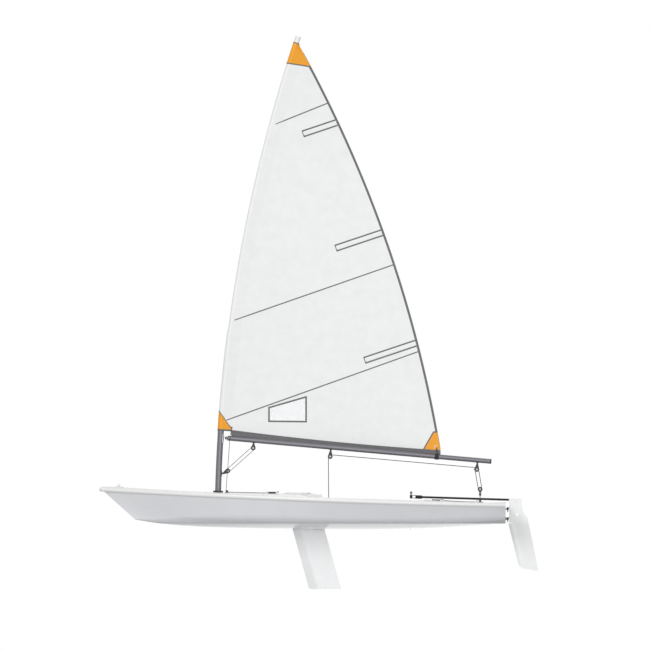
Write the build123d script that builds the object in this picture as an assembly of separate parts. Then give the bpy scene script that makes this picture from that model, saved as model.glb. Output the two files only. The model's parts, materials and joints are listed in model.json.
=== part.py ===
"""Single-handed sailing dinghy with an unstayed bent mast, a sleeved sail and a lifting rudder blade.

Millimetres. +X points to the bow, +Y to port, +Z up. The origin is on the centreplane,
amidships, at the level where the empty boat floats. Heights named "rise" are counted
from the lowest line of the keel.
"""

import os
from collections import namedtuple
from math import asin, atan2, cos, degrees, hypot, radians, sin, sqrt, tan

from build123d import *

# Hull form
HULL_LENGTH = 4230.0
FLOAT_DRAFT = 57.0
STEM_SETBACK = 49.0
SHEER_RISE_BOW = 390.0
SHEER_RISE_MID = 289.0
SHEER_RISE_STERN = 227.0
SECTION_OVERRUN = 18.0

# Deck moulding
GUNWALE_OVERHANG = 25.0
GUNWALE_HEIGHT = 45.0
GUNWALE_BULGE = 16.0
BOW_NOSE_RADIUS = 45.0
BOW_CROWN = 8.0
CROWN_SHARE = 0.52

# Cockpit well
COCKPIT_FROM_TRANSOM = 850.0
COCKPIT_LENGTH = 1260.0
COCKPIT_WIDTH = 640.0
COCKPIT_CORNER = 90.0
COCKPIT_WALL = 8.0
SOLE_RISE = 82.0
TRUNK_HOUSING_LENGTH = 200.0
TRUNK_HOUSING_WIDTH = 110.0
BLOCK_STEP_LENGTH = 135.0
RATCHET_FROM_STEP_END = 85.0
BLOCK_STEP_WIDTH = 150.0
BLOCK_STEP_RISE = 175.0

# Mast and its step
MAST_FROM_BOW = 1237.0
MAST_LEAN = 1.5
MAST_BEND_RADIUS = 16300.0
MAST_RADIUS = 31.75
MAST_WALL = 3.0
MAST_PARTNER_RISE = 387.0
MAST_HEEL_RISE = 55.0
LOWER_MAST_LENGTH = 1960.0
TOPMAST_RADIUS = 25.4
TOPMAST_WALL = 2.4
TOPMAST_LENGTH = 3423.0
TOPMAST_INSERT = 220.0
MAST_RUNNING_GAP = 1.0

# Boom
BOOM_LENGTH = 2740.0
BOOM_RADIUS = 25.4
BOOM_WALL = 2.4
BOOM_DROOP = 5.05
BOOM_FRONT_GAP = 46.0
BOOM_FRONT_RISE = 946.0

# Sail
SAIL_THICKNESS = 3.0
SAIL_CAMBER = 105.0
SLEEVE_GAP = 1.2
SLEEVE_CLOTH = 2.0
SLEEVE_TAIL = 110.0
POCKET_THICKNESS = 8.0

# Daggerboard and its case
BOARD_CHORD = 341.0
BOARD_THICKNESS = 30.0
BOARD_RAKE = 15.5
BOARD_TIP_RISE = -625.0
BOARD_TIP_RADIUS = 75.0
BOARD_CENTRE_FROM_MAST = 830.0
BOARD_CASE_GAP = 5.0
BOARD_HEAD_RISE = 8.0
BOARD_STOP_HEIGHT = 14.0
BOARD_STOP_WIDTH = 78.0

# Rudder and tiller
PINTLE_OFFSET = 22.0
PINTLE_RADIUS = 5.0
PINTLE_GAP = 0.3
BLADE_THICKNESS = 19.0
BLADE_SIDE_GAP = 1.5
CHEEK_THICKNESS = 6.0
HEAD_SPINE_DEPTH = 30.0
HEAD_TOP_RISE = 318.0
HEAD_FOOT_RISE = 66.0
TILLER_RADIUS = 11.0
TILLER_RISE = 305.0
TILLER_CLIMB = 1.75
TILLER_REACH = 974.0
TILLER_WALL = 2.0
SOCKET_DEPTH = 29.0
TILLER_GRIP_RADIUS = 18.0
EXTENSION_LENGTH = 840.0
EXTENSION_RADIUS = 9.0
EXTENSION_CLIMB = 3.0
EXTENSION_GRIP_LENGTH = 150.0
EXTENSION_GRIP_WALL = 3.0

# Fittings
SHEAVE_RADIUS = 20.0
BLOCK_RADIUS = 25.0
CHEEK_PLATE = 3.5
SHEAVE_WIDTH = 13.0
SEAT_GAP = 0.3
ROPE_RADIUS = 3.0
BOW_EYE_FROM_BOW = 204.0
BOW_EYE_LENGTH = 86.0
BOW_EYE_LUG = 10.0
BOW_EYE_HEIGHT = 30.0
BOW_EYE_BORE = 6.0
CLEATS_BEHIND_MAST = 561.0
TURNING_BLOCK_GAP = 92.0
MAST_RING_RADIUS = 52.0
TRAVELLER_FROM_TRANSOM = 265.0
TRAVELLER_RISE = 362.0
TRAVELLER_LINK = 52.0
FAIRLEAD_HALF_SPAN = 450.0
FAIRLEAD_HEIGHT = 40.0
TRAVELLER_CLEAT_FROM_TRANSOM = 715.0
TRAVELLER_CLEAT_HEIGHT = 9.0
STRAP_WIDTH = 50.0
STRAP_THICKNESS = 4.0
RAIL_RISE = 258.0
RAIL_LENGTH = 720.0
RAIL_RADIUS = 11.0
RAIL_STANDOFF = 36.0
BAILER_FROM_AFT = 120.0
BAILER_LENGTH = 96.0
BAILER_WIDTH = 46.0
BAILER_DEPTH = 22.0
BAILER_STANDOUT = 5.0

Station = namedtuple(
    "Station",
    "sheer_along keel_along keel_rise half_beam chine_half chine_rise chine_radius crown",
)
# Shares of the hull length from the transom, then sizes of each cross-section.
STATIONS = [
    Station(0.000, 0.000, 58.0, 530.0, 425.0, 48.0, 110.0, 7.0),
    Station(0.235, 0.235, 5.0, 662.0, 520.0, 70.0, 150.0, 20.0),
    Station(0.457, 0.457, 0.0, 635.0, 500.0, 80.0, 160.0, 33.0),
    Station(0.678, 0.675, 14.0, 455.0, 345.0, 95.0, 150.0, 14.0),
    Station(0.838, 0.806, 40.0, 245.0, 140.0, 85.0, 80.0, 9.0),
    Station(None, 0.912, 99.0, 14.0, 9.0, 7.0, 6.0, None),
]

TRANSOM_X = -HULL_LENGTH / 2
BOW_X = HULL_LENGTH / 2
BOW_EYE_X = BOW_X - BOW_EYE_FROM_BOW
TRAVELLER_X = TRANSOM_X + TRAVELLER_FROM_TRANSOM
TRAVELLER_CLEAT_X = TRANSOM_X + TRAVELLER_CLEAT_FROM_TRANSOM
KEEL_Z = -FLOAT_DRAFT


def up(rise):
    """Height in the boat's frame of a point that lies that far above the keel line."""
    return KEEL_Z + rise


def along(share):
    """Distance forward of amidships of a share of the hull length from the transom."""
    return TRANSOM_X + share * HULL_LENGTH


def arc_height(x, low, middle, high):
    """Height at x on the circular arc through three (x, height) points."""
    (x1, z1), (x2, z2), (x3, z3) = low, middle, high
    d = 2 * (x1 * (z2 - z3) + x2 * (z3 - z1) + x3 * (z1 - z2))
    s1, s2, s3 = x1**2 + z1**2, x2**2 + z2**2, x3**2 + z3**2
    cx = (s1 * (z2 - z3) + s2 * (z3 - z1) + s3 * (z1 - z2)) / d
    cz = (s1 * (x3 - x2) + s2 * (x1 - x3) + s3 * (x2 - x1)) / d
    radius = hypot(x1 - cx, z1 - cz)
    side = 1 if z2 > cz else -1
    return cz + side * sqrt(radius**2 - (x - cx) ** 2)


STEM_X = BOW_X - STEM_SETBACK


def sheer_z(x):
    """Height of the hull's top edge, a long shallow arc from stern to stem."""
    return arc_height(
        x,
        (TRANSOM_X, up(SHEER_RISE_STERN)),
        (0.0, up(SHEER_RISE_MID)),
        (STEM_X, up(SHEER_RISE_BOW)),
    )


def upright_plane(x, z):
    """A cross-section plane at x whose own axes are port and up."""
    return Plane(origin=(x, 0, z), x_dir=(0, 1, 0), z_dir=(1, 0, 0))


def side_plane(y=0.0):
    """The centreplane, or one beside it, whose own axes are forward and up."""
    return Plane(origin=(0, y, 0), x_dir=(1, 0, 0), z_dir=(0, -1, 0))


def side_prism(points, y_low, y_high):
    """A solid of constant outline seen from the side, between two offsets from the centreplane."""
    face = side_plane() * make_face(Polyline(*points, close=True))
    return Pos(0, y_low, 0) * extrude(face, amount=-(y_high - y_low))


def rod(start, end, radius):
    """A round bar between two points."""
    start, end = Vector(*start), Vector(*end)
    plane = Plane(origin=start, z_dir=end - start)
    return extrude(plane * Circle(radius), amount=(end - start).length)


def tube(start, end, radius, wall):
    """A round tube between two points."""
    start, end = Vector(*start), Vector(*end)
    plane = Plane(origin=start, z_dir=end - start)
    return extrude(plane * (Circle(radius) - Circle(radius - wall)), amount=(end - start).length)


# Hull and deck


def hull_section(row):
    """One closed cross-section of the hull: arched bottom, rounded chine, flared side."""
    sheer_x = STEM_X if row.sheer_along is None else along(row.sheer_along)
    keel_x = along(row.keel_along)
    keel_z = up(row.keel_rise)
    rise, run = sheer_z(sheer_x) - keel_z, sheer_x - keel_x
    depth = hypot(rise, run)
    plane = Plane(
        origin=(keel_x, 0, keel_z),
        x_dir=(0, 1, 0),
        z_dir=(rise / depth, 0, -run / depth),
    )
    flare = (row.half_beam - row.chine_half) / (depth - row.chine_rise)
    top, top_half = depth + SECTION_OVERRUN, row.half_beam + flare * SECTION_OVERRUN
    port_chine, port_top = (row.chine_half, row.chine_rise), (top_half, top)
    board_chine, board_top = (-row.chine_half, row.chine_rise), (-top_half, top)
    face = make_face(
        [
            Edge.make_line(board_top, board_chine),
            Edge.make_three_point_arc(board_chine, (0, 0), port_chine),
            Edge.make_line(port_chine, port_top),
            Edge.make_line(port_top, board_top),
        ]
    )
    chines = face.vertices().sort_by(Axis.Y)[:2]
    return plane * fillet(chines, row.chine_radius)


def deck_half(half_beam, crown):
    """Port half of a deck cross-section: corner points from the centre under the deck to its crown."""
    inner = half_beam - GUNWALE_BULGE
    arch = CROWN_SHARE * half_beam
    return inner, arch, GUNWALE_HEIGHT, GUNWALE_HEIGHT + crown


def deck_section(x, half_beam, crown):
    """One closed cross-section of the deck: half-round gunwales, level side decks, arched middle."""
    inner, arch, edge, top = deck_half(half_beam, crown)
    middle = edge / 2
    face = make_face(
        [
            Edge.make_line((-inner, 0), (inner, 0)),
            Edge.make_three_point_arc((inner, 0), (half_beam, middle), (inner, edge)),
            Edge.make_line((inner, edge), (arch, edge)),
            Edge.make_three_point_arc((arch, edge), (0, top), (-arch, edge)),
            Edge.make_line((-arch, edge), (-inner, edge)),
            Edge.make_three_point_arc((-inner, edge), (-half_beam, middle), (-inner, 0)),
        ]
    )
    return upright_plane(x, sheer_z(x)) * face


NOSE_X = BOW_X - BOW_NOSE_RADIUS


def bow_nose():
    """The rounded end of the gunwale, half of the foremost deck section turned about the stem head."""
    inner, arch, edge, top = deck_half(BOW_NOSE_RADIUS, BOW_CROWN)
    rim = (inner, edge)
    half = make_face(
        [
            Edge.make_line((0, 0), (inner, 0)),
            Edge.make_three_point_arc((inner, 0), (BOW_NOSE_RADIUS, edge / 2), rim),
            Edge.make_line(rim, (arch, edge)),
            Edge.make_three_point_arc((arch, edge), (0, top), (-arch, edge)).trim(0, 0.5),
            Edge.make_line((0, top), (0, 0)),
        ]
    )
    pivot = (NOSE_X, 0, sheer_z(NOSE_X))
    return revolve(
        upright_plane(NOSE_X, sheer_z(NOSE_X)) * half,
        axis=Axis(pivot, (0, 0, -1)),
        revolution_arc=180,
    )


def deck_blank():
    """The deck moulding before its openings are cut."""
    sections = [
        deck_section(along(s.sheer_along), s.half_beam + GUNWALE_OVERHANG, s.crown)
        for s in STATIONS
        if s.sheer_along is not None
    ]
    sections.append(deck_section(NOSE_X, BOW_NOSE_RADIUS, BOW_CROWN))
    return loft(sections) + bow_nose()


COCKPIT_AFT = TRANSOM_X + COCKPIT_FROM_TRANSOM
COCKPIT_FRONT = COCKPIT_AFT + COCKPIT_LENGTH
HIGH = up(SHEER_RISE_BOW + GUNWALE_HEIGHT + 200.0)


def cockpit_prism(margin, floor_z):
    """The cockpit's rounded rectangle, grown by a margin, from a floor height up past the deck."""
    outline = RectangleRounded(
        COCKPIT_LENGTH + 2 * margin,
        COCKPIT_WIDTH + 2 * margin,
        COCKPIT_CORNER + margin,
    )
    centre = ((COCKPIT_AFT + COCKPIT_FRONT) / 2, 0, floor_z)
    return Pos(*centre) * extrude(outline, amount=HIGH - floor_z)


def box_between(low, high):
    """A box given by two opposite corners."""
    size = [b - a for a, b in zip(low, high)]
    return Pos(*low) * Box(*size, align=(Align.MIN,) * 3)


HOUSING_END = COCKPIT_FRONT - TRUNK_HOUSING_LENGTH
STEP_END = HOUSING_END - BLOCK_STEP_LENGTH


def cockpit_well():
    """The open space of the cockpit, with the case housing and the block step left standing in it."""
    half_housing, half_step = TRUNK_HOUSING_WIDTH / 2, BLOCK_STEP_WIDTH / 2
    housing = box_between(
        (HOUSING_END, -half_housing, up(0)), (COCKPIT_FRONT + 1, half_housing, HIGH)
    )
    step = box_between(
        (STEP_END, -half_step, up(0)), (COCKPIT_FRONT + 1, half_step, up(BLOCK_STEP_RISE))
    )
    return cockpit_prism(0, up(SOLE_RISE)) - housing - step


# Mast geometry: a straight heel, then one long bend aft

MAST_FOOT_X = BOW_X - MAST_FROM_BOW
CLEATS_X = MAST_FOOT_X - CLEATS_BEHIND_MAST
MAST_FOOT = Vector(MAST_FOOT_X, 0, up(MAST_PARTNER_RISE))
LEAN = radians(MAST_LEAN)
BEND_CENTRE = MAST_FOOT - Vector(cos(LEAN), 0, sin(LEAN)) * MAST_BEND_RADIUS
MAST_AXIS = Vector(-sin(LEAN), 0, cos(LEAN))
HEEL_LENGTH = (MAST_PARTNER_RISE - MAST_HEEL_RISE) / cos(LEAN)
MAST_HEEL = MAST_FOOT - MAST_AXIS * HEEL_LENGTH


def mast_angle(arc_length):
    """Angle turned along the bend after that length above the deck, in degrees."""
    return degrees(arc_length / MAST_BEND_RADIUS)


def mast_plane(arc_length):
    """The plane across the mast that far above the deck; its own axes are forward and port."""
    lean = LEAN + arc_length / MAST_BEND_RADIUS
    outward = Vector(cos(lean), 0, sin(lean))
    return Plane(
        origin=BEND_CENTRE + outward * MAST_BEND_RADIUS,
        x_dir=outward,
        z_dir=(-sin(lean), 0, cos(lean)),
    )


def bent(profile, start, end):
    """A profile drawn across the mast, carried along the bend between two heights above the deck."""
    return revolve(
        mast_plane(start) * profile,
        axis=Axis(BEND_CENTRE, (0, -1, 0)),
        revolution_arc=mast_angle(end - start),
    )


def mast_height_at(rise):
    """Length along the bend from the deck up to that height."""
    lift = up(rise) - BEND_CENTRE.Z
    return (asin(lift / MAST_BEND_RADIUS) - LEAN) * MAST_BEND_RADIUS


LOWER_MAST_TOP = LOWER_MAST_LENGTH - HEEL_LENGTH
MAST_TIP = LOWER_MAST_TOP + TOPMAST_LENGTH - TOPMAST_INSERT
MAST_PARTNER_GAP = MAST_RADIUS + MAST_RUNNING_GAP


def mast_bore():
    """The round socket that the mast heel stands and turns in."""
    return rod(MAST_HEEL, MAST_FOOT + MAST_AXIS * 200, MAST_PARTNER_GAP)


def mast_lower():
    """Lower mast tube: straight heel below the deck, bent above it."""
    ring = Circle(MAST_RADIUS) - Circle(MAST_RADIUS - MAST_WALL)
    heel = tube(MAST_HEEL + MAST_AXIS * SEAT_GAP, MAST_FOOT, MAST_RADIUS, MAST_WALL)
    return heel + bent(ring, 0, LOWER_MAST_TOP)


def mast_upper():
    """Top mast tube, closed at its tip, standing in the lower tube."""
    start = LOWER_MAST_TOP - TOPMAST_INSERT
    ring = Circle(TOPMAST_RADIUS) - Circle(TOPMAST_RADIUS - TOPMAST_WALL)
    plug = Circle(TOPMAST_RADIUS)
    return bent(ring, start, MAST_TIP) + bent(plug, MAST_TIP - 30, MAST_TIP)


COLLAR_FLANGE = 6.0


def mast_collar():
    """Plastic bush that centres the top tube in the lower one and caps its end."""
    bush = Circle(MAST_RADIUS - MAST_WALL - SEAT_GAP) - Circle(TOPMAST_RADIUS + SEAT_GAP)
    flange = Circle(MAST_RADIUS) - Circle(TOPMAST_RADIUS + SEAT_GAP)
    low = LOWER_MAST_TOP - TOPMAST_INSERT
    return bent(bush, low, LOWER_MAST_TOP + COLLAR_FLANGE) + bent(
        flange, LOWER_MAST_TOP + SEAT_GAP, LOWER_MAST_TOP + COLLAR_FLANGE
    )


# Daggerboard geometry

BOARD_TILT = radians(BOARD_RAKE)
BOARD_DOWN = Vector(-sin(BOARD_TILT), 0, -cos(BOARD_TILT))
BOARD_AFT = Vector(-cos(BOARD_TILT), 0, sin(BOARD_TILT))
BOARD_DECK_X = MAST_FOOT_X - BOARD_CENTRE_FROM_MAST


def crown_height_at(x):
    """Height of the deck's centreline above the sheer, between the nearest stations."""
    rows = [s for s in STATIONS if s.sheer_along is not None]
    points = [(along(s.sheer_along), s.crown) for s in rows] + [(NOSE_X, BOW_CROWN)]
    for (x1, c1), (x2, c2) in zip(points, points[1:]):
        if x1 <= x <= x2:
            return GUNWALE_HEIGHT + c1 + (c2 - c1) * (x - x1) / (x2 - x1)
    return GUNWALE_HEIGHT + points[-1][1]


BOARD_DECK_Z = sheer_z(BOARD_DECK_X) + crown_height_at(BOARD_DECK_X)
BOARD_ORIGIN = Vector(BOARD_DECK_X, 0, BOARD_DECK_Z)


def foil_face(chord, thickness, nose_radius, tail=3.0):
    """A symmetrical foil section along its own -X, leading edge at half a chord forward."""
    front, back, shoulder = chord / 2, -chord / 2, chord / 2 - 0.36 * chord
    half, tail_half = thickness / 2, tail / 2
    bow = (front + shoulder) / 2
    swell = 0.78 * half
    face = make_face(
        [
            Edge.make_three_point_arc((front, 0), (bow, swell), (shoulder, half)),
            Edge.make_line((shoulder, half), (back, tail_half)),
            Edge.make_line((back, tail_half), (back, -tail_half)),
            Edge.make_line((back, -tail_half), (shoulder, -half)),
            Edge.make_three_point_arc((shoulder, -half), (bow, -swell), (front, 0)),
        ]
    )
    return fillet(face.vertices().sort_by(Axis.X)[-1:], nose_radius)


def raked_plane(point):
    """Plane across the daggerboard at a point; its own axes are forward and port."""
    return Plane(origin=point, x_dir=BOARD_AFT * -1, z_dir=BOARD_DOWN * -1)


def board_slot():
    """The raked slot that the board slides in, through deck and hull."""
    width = BOARD_THICKNESS + 2 * BOARD_CASE_GAP
    length = BOARD_CHORD + 2 * BOARD_CASE_GAP
    start = BOARD_ORIGIN - BOARD_DOWN * 300
    outline = raked_plane(start) * RectangleRounded(length, width, width / 3)
    return extrude(outline, amount=-1100)


def daggerboard():
    """Raked foil with a level head, a level tip and a rounded lower leading corner."""
    tip_z = up(BOARD_TIP_RISE)
    fall = (BOARD_DECK_Z - tip_z) / cos(BOARD_TILT)
    head = BOARD_ORIGIN - BOARD_DOWN * BOARD_CHORD
    foil = extrude(
        raked_plane(head) * foil_face(BOARD_CHORD, BOARD_THICKNESS, 6.0),
        amount=-(fall + 2 * BOARD_CHORD),
    )
    tip = BOARD_ORIGIN + BOARD_DOWN * fall
    half = BOARD_CHORD / 2 / cos(BOARD_TILT)
    margin = 400.0
    slope = tan(BOARD_TILT)
    top_z = BOARD_DECK_Z + BOARD_HEAD_RISE
    shift = slope * (top_z - tip_z)
    corners = [
        (tip.X + half + shift, top_z),
        (tip.X + half, tip_z),
        (tip.X - half - margin, tip_z),
        (tip.X - half - margin + shift, top_z),
    ]
    outline = make_face(Polyline(*corners, close=True))
    corner = outline.vertices().sort_by_distance((corners[1][0], corners[1][1], 0))[:1]
    outline = fillet(corner, BOARD_TIP_RADIUS)
    keep = Pos(0, -BOARD_THICKNESS, 0) * extrude(
        side_plane() * outline, amount=-2 * BOARD_THICKNESS
    )
    return foil & keep


def daggerboard_stop(base):
    """Handle block across the head of the board, wider than the slot, resting on the deck."""
    length = BOARD_CHORD - 90
    outline = RectangleRounded(length, BOARD_STOP_WIDTH, 20)
    block = Pos(BOARD_DECK_X, 0, base) * extrude(outline, amount=BOARD_STOP_HEIGHT)
    block = fillet(block.edges().group_by(Axis.Z)[-1], 4)
    return block - daggerboard()


# Boom

BOOM_SLOPE = radians(BOOM_DROOP)
BOOM_AFT = Vector(-cos(BOOM_SLOPE), 0, -sin(BOOM_SLOPE))
BOOM_NORMAL = Vector(-sin(BOOM_SLOPE), 0, cos(BOOM_SLOPE))
GOOSENECK = mast_plane(mast_height_at(BOOM_FRONT_RISE))
BOOM_FRONT = GOOSENECK.origin - Vector(MAST_RADIUS + BOOM_FRONT_GAP, 0, 0)


def boom_point(distance, drop=0.0):
    """A point that far along the boom from its front end, and that far below its axis."""
    return BOOM_FRONT + BOOM_AFT * distance - BOOM_NORMAL * drop


def boom_plane(distance):
    """Plane across the boom; its own axes are port and up."""
    return Plane(origin=boom_point(distance), x_dir=(0, 1, 0), z_dir=BOOM_AFT * -1)



# Sail


Point = namedtuple("Point", "x rise")
MAST_TOP = mast_plane(MAST_TIP).origin
TACK = Point(MAST_FOOT_X + 20.0, BOOM_FRONT_RISE + 85.0)
FOOT_FRONT = Point(MAST_FOOT_X - 166.0, BOOM_FRONT_RISE + 80.0)
FOOT_SAG = 18.0
LEECH_HEAD = Point(MAST_TOP.X - 11.0, MAST_TOP.Z + FLOAT_DRAFT - 97.4)
HEAD_TOP = Point(MAST_TOP.X - 31.0, MAST_TOP.Z + FLOAT_DRAFT + 2.6)
HEAD_FRONT = Point(MAST_TOP.X + 357.0, MAST_TOP.Z + FLOAT_DRAFT + 172.6)


def spot(point):
    """A sail corner as (forward, up) in the boat's frame."""
    return (point.x, up(point.rise))


BOOM_CLEARANCE = 6.0


def boom_top_rise(x):
    """Rise of the sail's lower edge above the boom at x."""
    lift = (BOOM_RADIUS + BOOM_CLEARANCE) / cos(BOOM_SLOPE)
    return BOOM_FRONT_RISE - (BOOM_FRONT.X - x) * tan(BOOM_SLOPE) + lift


CLEW_FROM_BOOM_END = 515.0
CLEW_LIFT = 33.0
LEECH_ROUND = Point(-173.0, 85.5)
CLEW_X = boom_point(BOOM_LENGTH).X + CLEW_FROM_BOOM_END
CLEW = Point(CLEW_X, boom_top_rise(CLEW_X) + CLEW_LIFT)
LEECH_MID = Point(
    (CLEW.x + LEECH_HEAD.x) / 2 + LEECH_ROUND.x,
    (CLEW.rise + LEECH_HEAD.rise) / 2 + LEECH_ROUND.rise,
)


def leech_arc():
    """The sail's back edge."""
    return Edge.make_three_point_arc(spot(CLEW), spot(LEECH_MID), spot(LEECH_HEAD))


def sail_outline():
    """The sail's side outline: foot, leech and head as arcs and lines; the luff is set by the mast."""
    tack, clew, foot = spot(TACK), spot(CLEW), spot(FOOT_FRONT)
    head, top, front = spot(LEECH_HEAD), spot(HEAD_TOP), spot(HEAD_FRONT)
    lead = (tack[0] + 200, tack[1] + 20)
    under_front = (foot[0], up(boom_top_rise(foot[0])))
    under_clew = (clew[0], up(boom_top_rise(clew[0])))
    return make_face(
        [
            Edge.make_line(lead, tack),
            Edge.make_line(tack, foot),
            Edge.make_line(foot, under_front),
            Edge.make_line(under_front, under_clew),
            Edge.make_line(under_clew, clew),
            leech_arc(),
            Edge.make_line(head, top),
            Edge.make_line(top, front),
            Edge.make_line(front, lead),
        ]
    )


def foot_band_outline():
    """The strip between the rounded foot seam and the boom."""
    clew, foot = spot(CLEW), spot(FOOT_FRONT)
    middle = ((foot[0] + clew[0]) / 2, (foot[1] + clew[1]) / 2 - FOOT_SAG)
    low = up(boom_top_rise(CLEW.x)) - 100
    return make_face(
        [
            Edge.make_three_point_arc(foot, middle, clew),
            Edge.make_line(clew, (clew[0] - 100, clew[1])),
            Edge.make_line((clew[0] - 100, clew[1]), (clew[0] - 100, low)),
            Edge.make_line((clew[0] - 100, low), (foot[0] + 50, low)),
            Edge.make_line((foot[0] + 50, low), (foot[0] + 50, foot[1])),
            Edge.make_line((foot[0] + 50, foot[1]), foot),
        ]
    )


def sail_prism(face, half_width=400.0):
    """A side outline carried right across the boat."""
    return Pos(0, -half_width, 0) * extrude(side_plane() * face, amount=-2 * half_width)


def patch_prism(points):
    """A straight-edged region of the sail, carried right across the boat."""
    return sail_prism(make_face(Polyline(*[spot(Point(*p)) for p in points], close=True)))


LEECH_MARGIN = 14.5
CLEW_DISTANCE = (Vector(CLEW.x, 0, up(CLEW.rise)) - BEND_CENTRE).length
SAIL_REACH = MAST_BEND_RADIUS - CLEW_DISTANCE + LEECH_MARGIN
SAIL_START = mast_height_at(TACK.rise) - 420.0


def cambered_strip(thickness):
    """The sail's cloth across the mast: a shallow arc from the sleeve's seam to past the clew."""
    luff, leech = -SLEEVE_TAIL + 6, -SAIL_REACH
    middle = (luff + leech) / 2
    half = thickness / 2
    return make_face(
        [
            Edge.make_three_point_arc((luff, half), (middle, half - SAIL_CAMBER), (leech, half)),
            Edge.make_line((leech, half), (leech, -half)),
            Edge.make_three_point_arc(
                (leech, -half), (middle, -half - SAIL_CAMBER), (luff, -half)
            ),
            Edge.make_line((luff, -half), (luff, half)),
        ]
    )


def sleeve_face(mast_radius):
    """Cross-section of the luff sleeve: round over the mast, drawn in to a seam behind it."""
    inner = mast_radius + SLEEVE_GAP
    outer = inner + SLEEVE_CLOTH
    tail = -SLEEVE_TAIL

    def drop(radius, end):
        turn = asin(radius / -end)
        touch = (-radius * sin(turn), radius * cos(turn))
        under = (touch[0], -touch[1])
        return make_face(
            [
                Edge.make_three_point_arc(touch, (radius, 0), under),
                Edge.make_line(under, (end, 0)),
                Edge.make_line((end, 0), touch),
            ]
        )

    return drop(outer, tail) - drop(inner, tail + 12)


def sail_form(thickness):
    """The whole sail before its patches are divided off: sleeve and cambered cloth in one."""
    low = SAIL_START
    cloth = bent(cambered_strip(thickness), low, MAST_TIP + 60)
    lower = bent(sleeve_face(MAST_RADIUS), low, LOWER_MAST_TOP + COLLAR_FLANGE + 1)
    upper = bent(
        sleeve_face(TOPMAST_RADIUS), LOWER_MAST_TOP + COLLAR_FLANGE + 1, MAST_TIP + 60
    )
    cap = bent(
        Circle(TOPMAST_RADIUS + SLEEVE_GAP + SLEEVE_CLOTH / 2),
        MAST_TIP + SEAT_GAP,
        MAST_TIP + SEAT_GAP + SLEEVE_CLOTH,
    )
    top_cut = bent(Circle(200), MAST_TIP + SEAT_GAP + SLEEVE_CLOTH, MAST_TIP + 400)
    form = (cloth + lower + upper + cap) & sail_prism(sail_outline())
    return form - top_cut


HEAD_RISE = MAST_TOP.Z + FLOAT_DRAFT
PATCHES = {
    "tack": [
        (MAST_FOOT_X + 72.0, TACK.rise + 208.0),
        (MAST_FOOT_X - 5.0, TACK.rise + 208.0),
        (MAST_FOOT_X - 131.0, TACK.rise + 20.0),
        (MAST_FOOT_X - 131.0, TACK.rise - 131.0),
        (MAST_FOOT_X + 72.0, TACK.rise - 131.0),
    ],
    "clew": [
        (CLEW.x + 73.0, CLEW.rise + 195.0),
        (CLEW.x + 182.0, CLEW.rise + 7.0),
        (CLEW.x + 182.0, CLEW.rise - 55.0),
        (CLEW.x - 62.0, CLEW.rise - 55.0),
        (CLEW.x - 62.0, CLEW.rise + 195.0),
    ],
    "head": [
        (MAST_TOP.X + 90.0, HEAD_RISE - 68.4),
        (MAST_TOP.X + 137.0, HEAD_RISE - 279.4),
        (MAST_TOP.X - 163.0, HEAD_RISE - 319.4),
        (MAST_TOP.X - 163.0, HEAD_RISE - 68.4),
    ],
}
Batten = namedtuple("Batten", "leech_share length")
BATTENS = [
    Batten(0.8014, 396.0),
    Batten(0.5249, 534.0),
    Batten(0.2567, 590.0),
]
BATTEN_WIDTH = 62.0
BATTEN_CLIMB = 18.5
BATTEN_OVERRUN = 12.0
WINDOW = [
    (MAST_FOOT_X - 530.0, TACK.rise + 233.0),
    (MAST_FOOT_X - 916.0, TACK.rise + 344.0),
    (MAST_FOOT_X - 916.0, TACK.rise + 87.0),
    (MAST_FOOT_X - 530.0, TACK.rise + 91.0),
]


def batten_region(batten):
    """The slanting strip of the sail that one batten pocket covers."""
    slope = radians(BATTEN_CLIMB)
    forward = (cos(slope), -sin(slope))
    across = (-sin(slope) * BATTEN_WIDTH / 2, -cos(slope) * BATTEN_WIDTH / 2)
    leech = leech_arc() @ batten.leech_share
    end = (
        leech.X - forward[0] * BATTEN_OVERRUN,
        leech.Y + FLOAT_DRAFT - forward[1] * BATTEN_OVERRUN,
    )
    front = (end[0] + forward[0] * batten.length, end[1] + forward[1] * batten.length)
    return patch_prism(
        [
            (end[0] + across[0], end[1] + across[1]),
            (front[0] + across[0], front[1] + across[1]),
            (front[0] - across[0], front[1] - across[1]),
            (end[0] - across[0], end[1] - across[1]),
        ]
    )


# Boom fittings

BOOM_CAP = 14.0
GOOSENECK_PIN = 5.0


def boom():
    """The boom tube."""
    return tube(boom_point(0), boom_point(BOOM_LENGTH), BOOM_RADIUS, BOOM_WALL)


def boom_plug():
    """Front plug of the boom with its tongue, drilled for the gooseneck pin."""
    plug = rod(boom_point(-4), boom_point(45), BOOM_RADIUS - BOOM_WALL - SEAT_GAP)
    tongue = Pos(*boom_point(-10)) * Rot(0, BOOM_DROOP, 0) * Box(24, 16, 16)
    eye = Pos(*(boom_point(-22) - Vector(0, 0, 8))) * Cylinder(
        11, 16, align=(Align.CENTER, Align.CENTER, Align.MIN)
    )
    bore = Pos(*boom_point(-22)) * Cylinder(GOOSENECK_PIN + SEAT_GAP, 60)
    rim = rod(boom_point(-5), boom_point(-SEAT_GAP), BOOM_RADIUS)
    return plug + tongue + eye + rim - bore


def boom_cap():
    """End cap of the boom."""
    flange = rod(
        boom_point(BOOM_LENGTH + SEAT_GAP), boom_point(BOOM_LENGTH + BOOM_CAP), BOOM_RADIUS
    )
    flange = fillet(flange.edges().sort_by(Axis.X)[:1], 4)
    return flange + rod(
        boom_point(BOOM_LENGTH - 40), boom_point(BOOM_LENGTH + 2), BOOM_RADIUS - BOOM_WALL - SEAT_GAP
    )


def mast_clearance(height):
    """The mast's own space near a fitting on it."""
    return bent(Circle(MAST_RADIUS + SEAT_GAP), height - 150, height + 150)


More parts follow.
